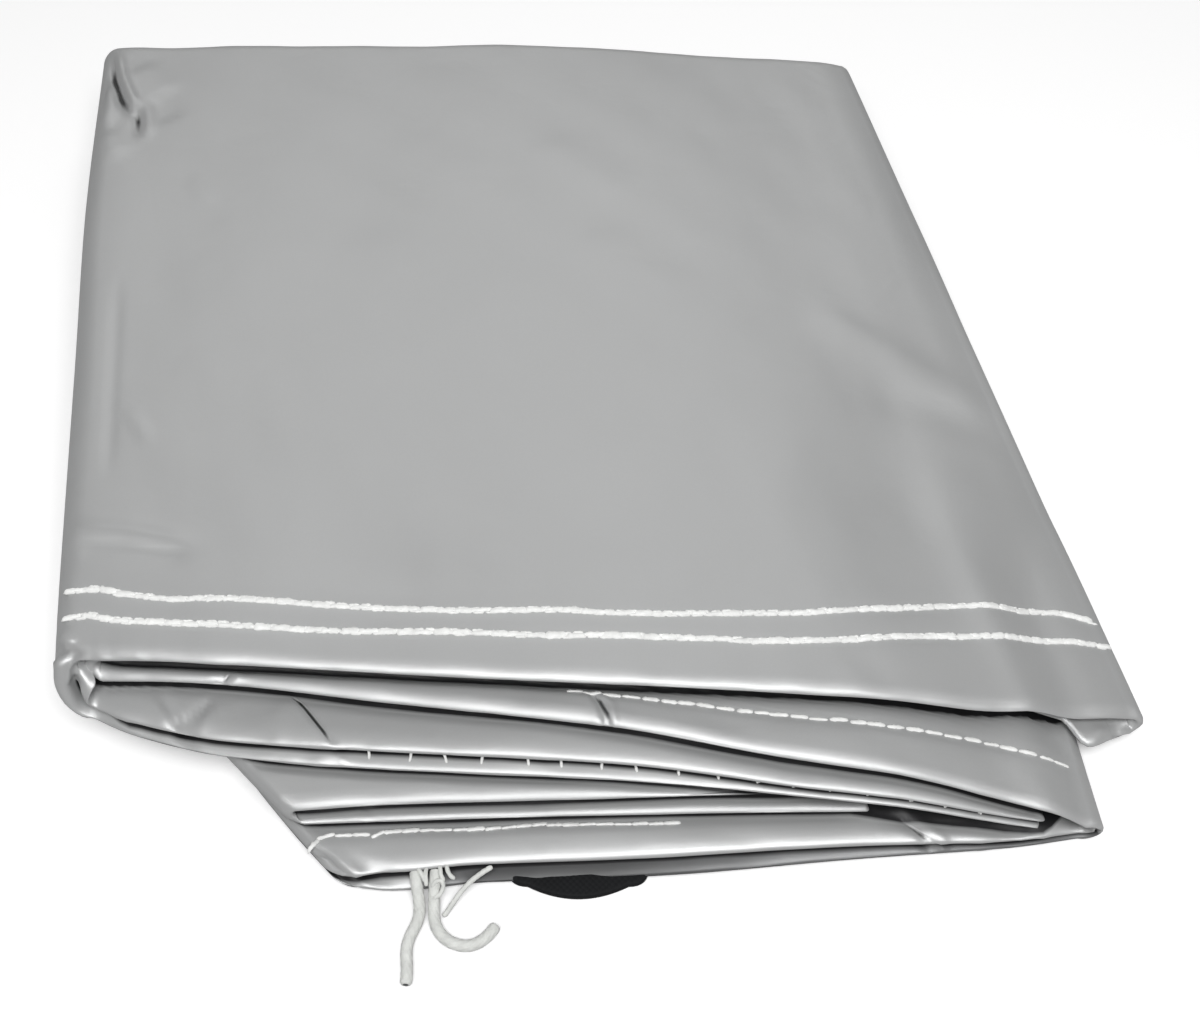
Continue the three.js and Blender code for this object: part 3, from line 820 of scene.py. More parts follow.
# %% Creases of each layer
crease_rows = {
    "top": [
        (13, 0.7, [(-76, 72), (-26, 14)]),
        (12, 0.6, [(1, 136), (32, 99)]),
        (14, 0.7, [(23, 72), (59, 32)]),
        (9, 1.5, [(118, 28), (150, 4), (180, -13)]),
        (8, -1.2, [(136, -14), (184, -24)]),
        (3.6, 1.2, [(-170, -88), (-150, -90), (-126, -96)]),
        (4, -1.1, [(-168, -97), (-126, -102)]),
        (3, -0.5, [(-179, 39), (-163, -60)]),
        (14, -0.9, [(-84, -98), (-39, -114)]),
        (3.5, 0.6, [(-160, 108), (-149, 94)]),
        (3.5, 0.6, [(-160, -32), (-150, -46)]),
        (2.6, 2.2, [(-211, 203), (-205, 184), (-198.5, 170), (-193.5, 160)]),
        (3, 1.6, [(-210, 178), (-206.5, 163), (-207, 148)]),
        (2, -1.6, [(-215, 190), (-214, 180), (-212.5, 168)]),
        (2.6, -2.6, [(-215, 202), (-209.8, 184.6), (-203.3, 169), (-197, 157.6)]),
        (2.4, -1.6, [(-194.5, 162), (-192, 152), (-190.5, 141)]),
        (2.6, 1.0, [(-190, 166), (-186.5, 152), (-185, 140)]),
        (8, 0.8, [(-198, 192), (-182, 172)]),
        (7, -0.8, [(-188, 168), (-176, 153)]),
        (6, 1.1, [(-206, 142), (-196, 126)]),
        (16, -0.8, [(100, -60), (150, -72)]),
        (14, -0.6, [(160, -150), (153, -80), (136, 0)]),
        (5, -0.4, [(40, -140), (46, -152)]),
        (6, -0.5, [(110, -138), (124, -152)]),
        (2.4, -2.2, [(-170, -136), (-158, -143)]),
        (2, 1.3, [(-166, -133), (-162, -138)]),
        (2, 1.2, [(-172, -140), (-163, -145)]),
    ],
    "under": [
        (1.6, -1.6, [(210, -148), (211.5, -156)]),
        (2.5, 0.8, [(205, -152), (200, -160)]),
        (1.5, 0.8, [(215, -150), (217, -153)]),
    ],
    "nested": [
        (1.3, -0.9, [(19, -150), (24.5, -156), (27, -166)]),
        (1.2, 0.6, [(22, -150), (27.5, -156), (29.5, -166)]),
        (0.8, 0.6, [(27, -168), (19, -148)], 26),
        (1.6, -0.9, [(-110.5, -149), (-106.5, -143)]),
        (2.5, 0.5, [(-106, -149), (-103, -143)]),
        (5, -0.5, [(62, -158), (78, -171)]),
        (6, -0.5, [(120, -163), (132, -176)]),
        (7, -0.4, [(-50, -150), (-40, -157)]),
        (4, 0.5, [(168, -168), (178, -184)]),
    ],
    "middle": [
        (0.45, 0.9, [(-66, -172), (-72.8, -163.2), (-85.5, -148.5)], 15),
        (1.6, -1.0, [(-132, -147), (-122.5, -161)]),
        (2.2, 0.4, [(-135, -149), (-127, -161)]),
        (1.9, -0.95, [(-111, -148), (-121, -161)]),
        (2.4, -0.7, [(-126, -159), (-118, -165)]),
        (2.4, 0.35, [(-108, -150), (-116, -163)]),
        (4, -0.5, [(-101, -149), (-92, -168)]),
        (1.4, 0.7, [(-69, -168), (-64, -173)]),
        (4, 0.5, [(-148, -152), (-140, -160)]),
        (5, -0.4, [(10, -165), (16, -176)]),
        (5, -0.4, [(84, -174), (94, -182)]),
    ],
    "third": [
        (7, -0.4, [(-62, -172), (-50, -187)]),
        (8, -0.4, [(40, -172), (52, -184)]),
    ],
    "tongue": [
        (1.5, -0.7, [(-57, -184), (-54, -190)]),
        (5, -0.3, [(0, -183), (8, -190)]),
    ],
    "bottom": [
        (1.8, -1.1, [(128, -184), (135, -190), (142, -197)]),
        (2, 0.7, [(132, -184), (139, -190), (145, -196)]),
        (2.4, 0.6, [(152, -187), (157, -196)]),
        (2.2, -0.6, [(164, -186), (168, -195)]),
        (2.4, 0.6, [(175, -185), (179, -193)]),
        (1.9, 0.9, [(-69, -200), (-62, -206), (-57, -208)]),
        (1.8, -2.0, [(-73, -199), (-66, -205), (-60, -209)]),
        (2.0, -0.8, [(-62, -200), (-57, -204), (-50, -206)]),
        (2.2, 0.7, [(-76, -196), (-72, -201)]),
        (5, 0.5, [(-44, -198), (-41, -208)]),
        (7, -0.5, [(70, -193), (84, -203)]),
    ],
}
crease_facts = ("width", "height", "line", "lap")
creases = {
    name: [dict(zip(crease_facts, row)) for row in rows] for name, rows in crease_rows.items()
}
print("creases:", {name: len(rows) for name, rows in creases.items()})

# %% [markdown]
# ## Stitch rows
# The hems are sewn with thick white thread. The top panel has two rows across its whole front, and
# shorter rows show on the nested layer and on the lowest one. Each row is listed as the line that
# it follows. The cloth is drawn down a little along a row, so the same lines also make troughs.

# %% Lines of the stitch rows
stitch_rows = [
    dict(
        layer="top", pitch=6.4, width=2.5, thread=1.0, gap=-1.4,
        line=[(-167.5, -116.2), (-155, -116), (-146, -118), (-127, -120.4), (-104, -120.6),
              (-66, -123.4), (-29, -125.7), (7, -125.7), (30, -126.8), (62, -126), (98, -123.8),
              (127, -118.6), (150, -113.6), (172, -110.8), (192, -107.4), (211, -109)],
    ),
    dict(
        layer="top", pitch=6.4, width=2.5, thread=1.0, gap=-1.4,
        line=[(-166, -127.6), (-156, -127), (-147, -129), (-126, -130.6), (-81, -133.4),
              (-50, -134.5), (-20, -135), (8, -136.4), (61, -136.5), (80, -137), (108, -134.9),
              (130, -130.6), (154, -126.3), (172, -124.4), (191, -120.4), (214.5, -119.8)],
    ),
    dict(
        layer="nested", pitch=6.6, width=1.6, thread=0.75, gap=-0.1,
        line=[(12, -150.8), (25, -152), (43, -154.3), (59, -156), (74, -158), (93, -159.6),
              (112, -160.6), (125, -161.2), (139, -162), (150, -162.5), (164, -164),
              (176, -166.2), (187, -167.4), (195, -168)],
    ),
    dict(
        layer="bottom", pitch=5.8, width=1.7, thread=0.8, gap=-1.3,
        line=[(-76, -199), (-74.8, -196.4), (-73.2, -194.2), (-70.5, -192.7), (-67, -192.3),
              (-54, -192.2), (-50, -191), (-38, -190.2), (-14, -189.6), (0, -188.4),
              (20, -188), (40, -187.9), (56, -187.8)],
    ),
]
stitch_pull = 0.5
for row in stitch_rows:
    creases[row["layer"]].append(dict(line=row["line"], width=row["width"], height=-stitch_pull))
print("stitch rows:", len(stitch_rows))

# %% [markdown]
# ## Pressing the creases into the band
# Each crease pushes the surface along its own normal, strongly on the upper face, less on the front
# of a hem, and not at all underneath, so layers never touch. A very low wave of the whole cloth is
# added as well, because a hem that is straight for 30 cm looks like plastic.

# %% Relief of the cloth
def distance_to_line(line, x, y):
    """Distance to a line of points, the share along it, and which side it is on."""
    points = np.asarray(line, float)
    lengths = np.linalg.norm(np.diff(points, axis=0), axis=1)
    start = np.concatenate([[0], np.cumsum(lengths)])
    best, share, side = np.full(x.shape, 1e9), np.zeros(x.shape), np.zeros(x.shape)
    last = len(lengths) - 1
    for k, (a, b) in enumerate(zip(points, points[1:])):
        direction = (b - a) / lengths[k]
        along = (x - a[0]) * direction[0] + (y - a[1]) * direction[1]
        low = -lengths[k] if k == 0 else 0
        high = 2 * lengths[k] if k == last else lengths[k]
        held = np.clip(along, low, high)
        dx, dy = x - a[0] - held * direction[0], y - a[1] - held * direction[1]
        distance = np.hypot(dx, dy)
        nearer = distance < best
        best = np.where(nearer, distance, best)
        share = np.where(nearer, (start[k] + held) / start[-1], share)
        side = np.where(nearer, np.sign(direction[0] * dy - direction[1] * dx), side)
    return best, share, side


def crease_height(crease, x, y):
    distance, share, side = distance_to_line(crease["line"], x, y)
    fade = smooth((share + 0.12) / 0.3) * smooth((1.12 - share) / 0.3)
    if "lap" in crease:
        signed = distance * side
        raised = 0.5 + 0.5 * np.tanh(signed / crease["width"])
        return crease["height"] * raised * np.exp(-((distance / crease["lap"]) ** 2)) * fade
    return crease["height"] * np.exp(-((distance / crease["width"]) ** 2)) * fade


long_waves = ((110, 0.3), (64, 0.16), (38, 0.08), (21, 0.04))
hem_waves = ((29, 0.1), (17, 0.08), (11, 0.05), (7, 0.03))


def waves(x, y, lengths, turned, seed):
    """A few waves of given lengths and rises, each turned and shifted by chance."""
    chance = np.random.default_rng(seed)
    height = np.zeros(x.shape)
    for length, rise in lengths:
        angle, phase = chance.uniform(-turned, turned), chance.uniform(0, 2 * math.pi)
        along = x * math.cos(angle) + y * math.sin(angle)
        height += rise * np.sin(along * 2 * math.pi / length + phase)
    return height


# Under each layer: the fronts above it, from where to where they lie on it, and a groove's depth
hollows = {
    "nested": [("top", -153, 196, 2.4)],
    "middle": [("nested", -158, 180, 1.8)],
    "third": [("middle", -100, 175, 1.6)],
    "tongue": [("third", -84, 119, 1.0)],
    "bottom": [("tongue", -80, 119, 1.6), ("middle", 119, 180, 1.2)],
}


hollow_under_top, hollow_under_others, hollow_width = 6.0, 1.7, 2.3
highest_crease_on_top, highest_crease_below = 9.0, 0.75


def hollow_under(above, low, high, depth, x, y):
    """A soft groove just behind the front of the layer above, between two places along it."""
    centre = hollow_under_top if above is top_layer else hollow_under_others
    behind = (y - read_off(above["front"], x) - centre) / hollow_width
    inside = smooth((x - low) / 6) * smooth((high - x) / 6)
    return -depth * np.exp(-(behind**2)) * inside


def layer_relief(layer, x, y):
    """Height that the long waves, hollows and creases add to a layer's upper face."""
    from_folds = np.minimum(x - read_off(layer["left"], y), read_off(layer["right"], y) - x)
    height = waves(x, y, long_waves, 0.9, layers.index(layer)) * smooth(from_folds / 30)
    for name, low, high, depth in hollows.get(layer["name"], []):
        height = height + hollow_under(layer_named(name), low, high, depth, x, y)
    for crease in creases[layer["name"]]:
        height = height + crease_height(crease, x, y)
    highest = highest_crease_on_top if layer is top_layer else highest_crease_below
    return np.minimum(height, highest)


def grid_normals(points):
    across = np.roll(points, -1, axis=1) - np.roll(points, 1, axis=1)
    normals = np.cross(np.gradient(points, axis=0), across)
    length = np.linalg.norm(normals, axis=-1, keepdims=True)
    normals = normals / np.maximum(length, 1e-9)
    highest = np.unravel_index(points[..., 2].argmax(), points.shape[:2])
    return normals * (1 if normals[highest][2] > 0 else -1)


def press_creases(points, names):
    normals = grid_normals(points)
    push = np.zeros(points.shape[:2])
    for number, layer in enumerate(layers):
        rows = np.flatnonzero(names == layer["name"])
        x, y = points[rows, :, 0], points[rows, :, 1]
        behind = y - y.min(axis=1, keepdims=True)
        crumpled = 1 + smooth((-125 - x) / 30)
        hem = waves(x, 3 * points[rows, :, 2], hem_waves, 1.2, 20 + number) * crumpled
        height = layer_relief(layer, x, y) + hem * np.exp(-((behind / 10) ** 2))
        # The relief fades out in the middle of the folds at both ends of a run
        ends = np.minimum(np.arange(len(rows)), np.arange(len(rows))[::-1])
        push[rows] = height * smooth(ends / 3)[:, None]
    facing = smooth(0.55 + 0.9 * normals[..., 2])
    return points + normals * (push * facing)[..., None]


def height_on(layer, x, y):
    """Height of the cloth's upper face at a place in plan, creases included."""
    surface = middle_height(layer, x, y) + thickness(layer, x, y) / 2
    return surface + layer_relief(layer, x, y)


cloth_points = press_creases(band, band_layer)
print("highest point of the cloth:", round(float(cloth_points[..., 2].max()), 1), "mm")

# %% [markdown]
# ## Silver-grey coated cloth
# The cloth is a thin polyester with a silver-grey coating, smooth but not shiny. The coating is
# partly metal flake, so a little Metallic on a mid grey gives bright rolls along the folds. Their
# dark undersides are partly real shade and partly painted shade. Soft noise dulls some places, the
# weave is a very fine bump, and a wider crumple bump breaks up the reflections.

# %% Crumple group
def make_crumple():
    group, given, out = start_group(
        "crumple",
        {"Place": (VECTOR, (0, 0, 0)), "Folds per metre": (FLOAT, 30.0)},
        {"Height": FLOAT},
    )
    soft = noise(group, given["Place"], given["Folds per metre"], 4.0, 0.6)
    ridge = maths(group, "ABSOLUTE", maths(group, "SUBTRACT", soft, 0.5))
    sharper = maths(group, "SUBTRACT", 0.5, ridge)
    group.links.new(maths(group, "MULTIPLY_ADD", sharper, 0.35, soft), out["Height"])
    return group


crumple = make_crumple()
print("group:", crumple.name)

# %% [markdown]
# ## Sharp creases
# Some creases are thinner than the mesh can show: the edge of a lapped ply, the folds of a pucker.
# One node group makes such a line. It measures how far a point of the surface is from a straight
# piece between two places, and gives a narrow groove or ridge there. The material paints grooves
# darker, as painted shade. Only the cloth near a sharp crease gets the material with these lines,
# because each one costs time.

# %% Crease line group
def make_crease_line():
    group, given, out = start_group(
        "crease line",
        {
            "Place": (VECTOR, (0, 0, 0)),
            "Start": (VECTOR, (0, 0, 0)),
            "End": (VECTOR, (1, 0, 0)),
            "Width": (FLOAT, 0.001),
            "Height": (FLOAT, -0.0004),
            "Strength at start": (FLOAT, 1.0),
            "Strength at end": (FLOAT, 1.0),
        },
        {"Height": FLOAT},
    )

    def vector(operation, a, b=(0, 0, 0)):
        return add_node(group, "ShaderNodeVectorMath", {0: a, 1: b}, operation=operation).outputs

    reach = vector("SUBTRACT", given["Place"], given["Start"])[0]
    line = vector("SUBTRACT", given["End"], given["Start"])[0]
    share = add_node(
        group,
        "ShaderNodeMath",
        {0: vector("DOT_PRODUCT", reach, line)[1], 1: vector("DOT_PRODUCT", line, line)[1]},
        operation="DIVIDE",
        use_clamp=True,
    ).outputs[0]
    foot = add_node(
        group, "ShaderNodeVectorMath", {0: line, "Scale": share}, operation="SCALE"
    ).outputs[0]
    distance = vector("LENGTH", vector("SUBTRACT", reach, foot)[0])[1]
    near = add_node(
        group,
        "ShaderNodeMapRange",
        {"Value": distance, "From Max": given["Width"], "To Min": 1.0, "To Max": 0.0},
        interpolation_type="SMOOTHSTEP",
    ).outputs[0]
    gain = maths(group, "SUBTRACT", given["Strength at end"], given["Strength at start"])
    strength = maths(group, "MULTIPLY_ADD", share, gain, given["Strength at start"])
    shape = maths(group, "MULTIPLY", near, strength)
    group.links.new(maths(group, "MULTIPLY", shape, given["Height"]), out["Height"])
    return group


crease_line = make_crease_line()
print("group:", crease_line.name)

# %% Places of the sharp creases
sharp_creases = [
    dict(
        layer="middle", width=0.9, height=-0.8,
        line=[(-85.5, -148.5), (-81.5, -152.2), (-77.5, -156.8), (-72.5, -163), (-66.8, -170)],
    ),
    dict(
        layer="nested", width=1.0, height=-0.7,
        line=[(20.5, -150.5), (24, -155.3), (26.4, -160.1), (27.6, -166)],
    ),
    dict(
        layer="nested", width=1.1, height=-0.4,
        line=[(-110.5, -148.6), (-108, -146), (-106, -143.4)],
    ),
    dict(
        layer="bottom", width=1.1, height=-0.6,
        line=[(129, -185), (135.3, -190.8), (141.8, -195.5)],
    ),
    dict(
        layer="top", width=2.2, height=-0.9,
        line=[(-215, 201), (-209.8, 184.6), (-203.3, 169), (-197, 157.6)],
    ),
    dict(layer="top", width=1.6, height=-0.8, line=[(-194.5, 161), (-192, 152), (-190.5, 142.6)]),
]
crease_reach = 9


def pieces_of(crease):
    """Straight pieces of a crease in metres, each with its strength at both ends."""
    layer = layer_named(crease["layer"])
    line = crease["line"]
    x, y = np.array(line, float).T
    places = list(zip(x, y, height_on(layer, x, y)))
    strengths = [0.0, *[1.0] * (len(line) - 2), 0.0]
    return zip(metres(places), metres(places[1:]), strengths, strengths[1:])


def lay_creases(tree, place):
    """Adds the sharp creases to a material, and gives the lowest of their heights in metres."""
    height = 0.0
    for crease in sharp_creases:
        for start, end, start_strength, end_strength in pieces_of(crease):
            made = place_group(
                tree,
                crease_line,
                {
                    "Place": place,
                    "Start": start,
                    "End": end,
                    "Width": crease["width"] * MM,
                    "Height": crease["height"] * MM,
                    "Strength at start": start_strength,
                    "Strength at end": end_strength,
                },
            )
            height = maths(tree, "MINIMUM", made["Height"], height)
    return height


print("sharp creases:", len(sharp_creases))

# %% [markdown]
# ## Painted shade of the folds
# Shade is painted into the cloth's colour. The lower roll of the lowest hem is painted darker grey
# where the upper roll shades it. Cloth deep in a slit, on a face that looks down, and just behind the
# front of a layer that lies on it, is painted close to black. Three attributes of the mesh say where
# that is. This group mixes the colours by them, and also tells how dark a point is.

# %% Fold shade group
def make_fold_shade():
    group, given, out = start_group(
        "fold shade",
        {
            "Open cloth": (COLOUR, (0.5, 0.5, 0.5, 1)),
            "Painted hem shade": (COLOUR, (0.2, 0.2, 0.2, 1)),
            "Painted fold shade": (COLOUR, (0.01, 0.01, 0.01, 1)),
            "Soft edge in mm": (FLOAT, 1.0),
        },
        {"Colour": COLOUR, "Darkness": FLOAT},
    )
    # The three attributes are painted shade, and the cloth's colour is darkened by them
    inner, deep, behind = (
        add_node(group, "ShaderNodeAttribute", attribute_name=name).outputs["Fac"]
        for name in ("painted_hem_shade", "painted_fold_shade", "painted_gap_shade")
    )
    edge = {"Value": behind, "From Max": given["Soft edge in mm"]}
    hidden = add_node(group, "ShaderNodeMapRange", edge).outputs[0]
    darkness = maths(group, "MAXIMUM", deep, hidden)
    shown = mix_colours(group, inner, given["Open cloth"], given["Painted hem shade"])
    colour = mix_colours(group, darkness, shown, given["Painted fold shade"])
    group.links.new(colour, out["Colour"])
    group.links.new(darkness, out["Darkness"])
    return group


fold_shade = make_fold_shade()
print("group:", fold_shade.name)

# %% Silver cloth material
cloth_grey = (0.50, 0.505, 0.505, 1)
# Painted shade: darker grey on the lowest hem's lower roll, where the upper roll shades it
hem_shade_grey = (0.2, 0.203, 0.205, 1)
# Painted shade: near black on faces that look down, in the slits and behind the fronts
fold_shade_black = (0.012, 0.012, 0.013, 1)
cloth_metallic = 0.4
threads_per_metre = 3400.0
# Painted shade in a groove: it keeps all its colour at the first height and little of it at the
# second
shallow_groove, deep_groove, colour_left = -0.0001, -0.0007, 0.12


def make_silver_cloth(name, creased):
    material, tree, shader, place = start_material(name)
    shade = place_group(
        tree,
        fold_shade,
        {
            "Open cloth": cloth_grey,
            "Painted hem shade": hem_shade_grey,
            "Painted fold shade": fold_shade_black,
            "Soft edge in mm": 1.6,
        },
    )
    tone = place_group(
        tree,
        uneven_tone,
        {
            "Place": place,
            "Colour": shade["Colour"],
            "Patches per metre": 9.0,
            "Patch strength": 0.16,
            "Specks per metre": 1400.0,
            "Speck strength": 0.05,
        },
    )
    folds = place_group(tree, crumple, {"Place": place, "Folds per metre": 30.0})
    threads = place_group(tree, weave, {"Threads per metre": threads_per_metre})
    colour = tone["Colour"]
    bumped = bump(tree, folds["Height"], 0.5, 0.0007)
    if creased:
        sharp_height = lay_creases(tree, place)
        # The grooves of the sharp creases are painted darker: painted shade
        groove = {"From Min": deep_groove, "From Max": shallow_groove, "To Min": colour_left}
        kept = add_node(tree, "ShaderNodeMapRange", {"Value": sharp_height, **groove}).outputs[0]
        darker = {0: colour, "Scale": kept}
        colour = add_node(tree, "ShaderNodeVectorMath", darker, operation="SCALE").outputs[0]
        bumped = bump(tree, sharp_height, 1.0, 1.0, Normal=bumped)
    tree.links.new(colour, shader.inputs["Base Color"])
    dulled = maths(tree, "MULTIPLY_ADD", tone["Patch"], 0.16, 0.34)
    tree.links.new(dulled, shader.inputs["Roughness"])
    # Where shade is painted the metal is taken away too, so no reflection shows there
    gloss = maths(tree, "MULTIPLY_ADD", shade["Darkness"], -cloth_metallic, cloth_metallic)
    tree.links.new(gloss, shader.inputs["Metallic"])
    woven = bump(tree, threads["Height"], 0.3, 0.00005, Normal=bumped)
    tree.links.new(woven, shader.inputs["Normal"])
    shader.inputs["Specular IOR Level"].default_value = 0.4
    return material


silver_cloth = make_silver_cloth("silver_cloth", creased=False)
creased_cloth = make_silver_cloth("silver_cloth_creased", creased=True)
print("materials:", silver_cloth.name, creased_cloth.name)

# %% [markdown]
# ## The cloth as one mesh
# The sections are joined into one closed skin. Its UV map counts metres along the band and round a
# section, which the weave needs. Three attributes tell the material where shade is painted: on the
# lower roll of the lowest hem from the drawcord to the right, on the slits and faces that look down,
# and by how far a point lies behind the front of a layer above it.

# %% Cloth mesh
def painted_hem_shade_of(points, names):
    """Painted shade on the lowest hem's lower roll, right of the drawcord, from 0 to 1."""
    mask = np.zeros(points.shape[:2])
    rows = np.flatnonzero(names == "bottom")
    first_lower = back_count + near_count + round(0.52 * hem_count)
    past_cord = smooth((points[rows, :, 0] + 42) / 8)
    mask[rows, first_lower:] = past_cord[:, first_lower:]
    return mask


left_edge_clear, front_shade_reach, lower_hem_shade = 18, 26, 0.72


def painted_fold_shade_of(points, names):
    """Painted shade on faces that look down and in the slits between two hems, from 0 in the open to
    1.
    """
    normals = grid_normals(points)
    mask = smooth((-normals[..., 2] - 0.1) / 0.4) * (1 - normals[..., 0] ** 2)
    x, y = points[..., 0], points[..., 1]
    from_left = x - read_off(outer_left, y)
    mask *= smooth((from_left - left_edge_clear) / 6)
    mask *= smooth((front_shade_reach - (y - y.min(axis=1, keepdims=True))) / 8)
    slit = smooth(1.3 - np.abs(np.linspace(0, 1, hem_count) - 0.5) / 0.11)
    columns = back_count + near_count + np.arange(hem_count)[None, :]
    for layer in layers:
        if layer["two_hems"]:
            rows = np.flatnonzero(names == layer["name"])[:, None]
            shown = slit * smooth((from_left[rows, columns] - 4) / 10)
            mask[rows, columns] = np.maximum(mask[rows, columns], shown)
    # The lower hem right of the cords is in the shade of the upper one, and that shade is painted
    rows = np.flatnonzero(names == "bottom")[:, None]
    lower = columns[:, hem_count // 2 : -4]
    from_cords, to_right = smooth((x[rows, lower] + 28) / 8), smooth((110 - x[rows, lower]) / 90)
    shaded = lower_hem_shade * from_cords * to_right
    mask[rows, lower] = np.maximum(mask[rows, lower], shaded)
    return mask


# Painted shade in the slits and in the gaps behind the fronts: where it starts and how far it reaches
slit_shade, shade_depth, in_the_open = 0.9, 20, -10.0
lit_under_top, lit_under_others = 4.2, 0.4


def painted_gap_shade_of(points, names):
    """Painted shade: how many millimetres a point lies in the dark behind a front above it, below 0
    in the open.
    """
    distance = np.full(points.shape[:2], in_the_open)
    for name, above in hollows.items():
        rows = np.flatnonzero(names == name)
        x, y = points[rows, :, 0], points[rows, :, 1]
        for over, low, high, _ in above:
            lit = lit_under_top if over == "top" else lit_under_others
            behind = y - read_off(layer_named(over)["front"], x) - lit
            behind = np.minimum(behind, shade_depth - behind)
            outside = np.maximum(np.maximum(low - x, x - high), 0)
            distance[rows] = np.maximum(distance[rows], behind - outside)
    # Below the upper of two hems, the lower one is painted dark as shade from just in front of the
    # upper tip
    first = back_count + near_count
    for layer in layers:
        if layer["two_hems"]:
            rows = np.flatnonzero(names == layer["name"])
            y = points[rows, :, 1]
            tip = y[:, first : first + hem_count // 2 - 2].min(axis=1, keepdims=True)
            lower = slice(first + hem_count // 2, first + hem_count - 6)
            from_left = points[rows, lower, 0] - read_off(outer_left, y[:, lower])
            behind = y[:, lower] - tip + slit_shade - np.maximum(12 - from_left, 0) / 3
            distance[rows, lower] = np.maximum(distance[rows, lower], behind)
    return np.maximum(distance, in_the_open)


def lay_out(mesh, metres_of_points):
    """Gives a mesh its UV map from one place in metres for each point."""
    corner_points = np.zeros(len(mesh.loops), np.int32)
    mesh.loops.foreach_get("vertex_index", corner_points)
    uv = metres_of_points[corner_points].astype(np.float32)
    mesh.uv_layers.new(name="cloth_metres").data.foreach_set("uv", uv.ravel())


def metres_on_cloth(points):
    """Metres along the band and round a section, for each point of the cloth."""
    along = np.linalg.norm(np.diff(points, axis=0), axis=-1)
    along = np.vstack([np.zeros((1, points.shape[1])), np.cumsum(along, axis=0)])
    closed = np.concatenate([points, points[:, :1]], axis=1)
    around = np.cumsum(np.linalg.norm(np.diff(closed, axis=1), axis=-1), axis=1)
    around = np.hstack([np.zeros((len(points), 1)), around[:, :-1]])
    return np.stack([along, around], axis=-1).reshape(-1, 2) * MM


# %% Cloth piece
cover = add_piece(
    "cover_folded_cloth",
    cloth_points.reshape(-1, 3),
    tube_faces(*cloth_points.shape[:2]),
    [silver_cloth, creased_cloth],
    "silver_cloth",
)
near_crease = np.zeros(cloth_points.shape[:2], bool)
for crease in sharp_creases:
    low, high = np.min(crease["line"], axis=0), np.max(crease["line"], axis=0)
    plan = cloth_points[..., :2]
    within = np.all((plan > low - crease_reach) & (plan < high + crease_reach), axis=-1)
    near_crease |= within & (band_layer == crease["layer"])[:, None]
near_crease = near_crease.ravel()
for face in cover.data.polygons:
    face.material_index = int(near_crease[face.vertices[0]])
lay_out(cover.data, metres_on_cloth(cloth_points))
masks = {
    "painted_hem_shade": painted_hem_shade_of,
    "painted_fold_shade": painted_fold_shade_of,
    "painted_gap_shade": painted_gap_shade_of,
}
for name, mask_of in masks.items():
    mask = mask_of(cloth_points, band_layer).astype(np.float32)
    cover.data.attributes.new(name, "FLOAT", "POINT").data.foreach_set("value", mask.ravel())
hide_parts("cover_cloth")

# %% [markdown]
# ## Sewing the rows
# A stitch is a short bundle of twisted thread that lies on the cloth and dives in at both ends. One
# stitch is modelled as a flattened, lobed spindle, and a row is many of them laid end to end, each
# a little longer, wider or more turned than its neighbour, as a loaded machine sews them.

# %% Stitches
stitch_rings, stitch_sides = 11, 12


def stitch_shape(length, width, high, chance):
    """A flattened ragged spindle of three twisted plies, along x, round the origin."""
    twist = chance.uniform(0.5, 0.9)
    rings_ragged = 1 + chance.normal(0, 0.09, (stitch_rings, 1))
    ragged = rings_ragged + chance.normal(0, 0.05, (stitch_rings, stitch_sides))
    s = np.linspace(-1, 1, stitch_rings)[:, None]
    turn = np.linspace(0, 2 * math.pi, stitch_sides, endpoint=False)[None, :]
    swell = np.sqrt(np.clip(1 - np.abs(s) ** 5, 0.06, 1)) * ragged
    lobes = 1 + 0.1 * np.cos(3 * (turn - twist * s * 3))
    y = width / 2 * swell * lobes * np.cos(turn)
    z = high / 2 * swell * lobes * np.sin(turn)
    x = np.broadcast_to(s * length / 2, y.shape)
    return np.stack([x, y, z], axis=-1)


def sew_row(row, seed, aside=0.0):
    layer = layer_named(row["layer"])
    chance = np.random.default_rng(seed)
    line = smooth_line([(*point, 0) for point in row["line"]], 0.5)[:, :2] + (0, aside)
    walked = np.concatenate([[0], np.cumsum(np.linalg.norm(np.diff(line, axis=0), axis=1))])
    parts, at = [], row["pitch"] / 2
    while at < walked[-1] - row["pitch"] / 3:
        length = row["pitch"] * chance.uniform(0.88, 1.1)
        here = np.array([np.interp(at, walked, line[:, k]) for k in (0, 1)])
        ahead = np.array([np.interp(at + 1, walked, line[:, k]) for k in (0, 1)]) - here
        angle = math.atan2(ahead[1], ahead[0]) + chance.normal(0.035, 0.03)
        width = row["width"] * chance.uniform(0.7, 1.15)
        shape = stitch_shape(length - row["gap"], width, row["thread"] * 1.5, chance)
        x = here[0] + shape[..., 0] * math.cos(angle) - shape[..., 1] * math.sin(angle)
        y = here[1] + shape[..., 0] * math.sin(angle) + shape[..., 1] * math.cos(angle)
        y = y + chance.normal(0, 0.14)
        dive = 0.3 * (np.abs(shape[..., 0]) / (length / 2)) ** 6
        z = height_on(layer, x, y) + shape[..., 2] + 0.12 * row["thread"] - dive
        faces = tube_faces(stitch_rings, stitch_sides, flip=True)
        parts.append((np.stack([x, y, z], axis=-1).reshape(-1, 3), faces))
        at += length
    return parts


stitches = [part for seed, row in enumerate(stitch_rows) for part in sew_row(row, seed)]
for seed, row in enumerate(stitch_rows[:2]):
    # Loose plies beside the stitches make the two wide rows ragged
    strand = dict(row, pitch=4.3, width=1.1, thread=0.75, gap=0.3)
    stitches += sew_row(strand, 20 + seed, 0.75) + sew_row(strand, 30 + seed, -0.75)
add_piece("hem_stitches", *joined(stitches), [thread_white], "white_cord")
print("stitches:", len(stitches))

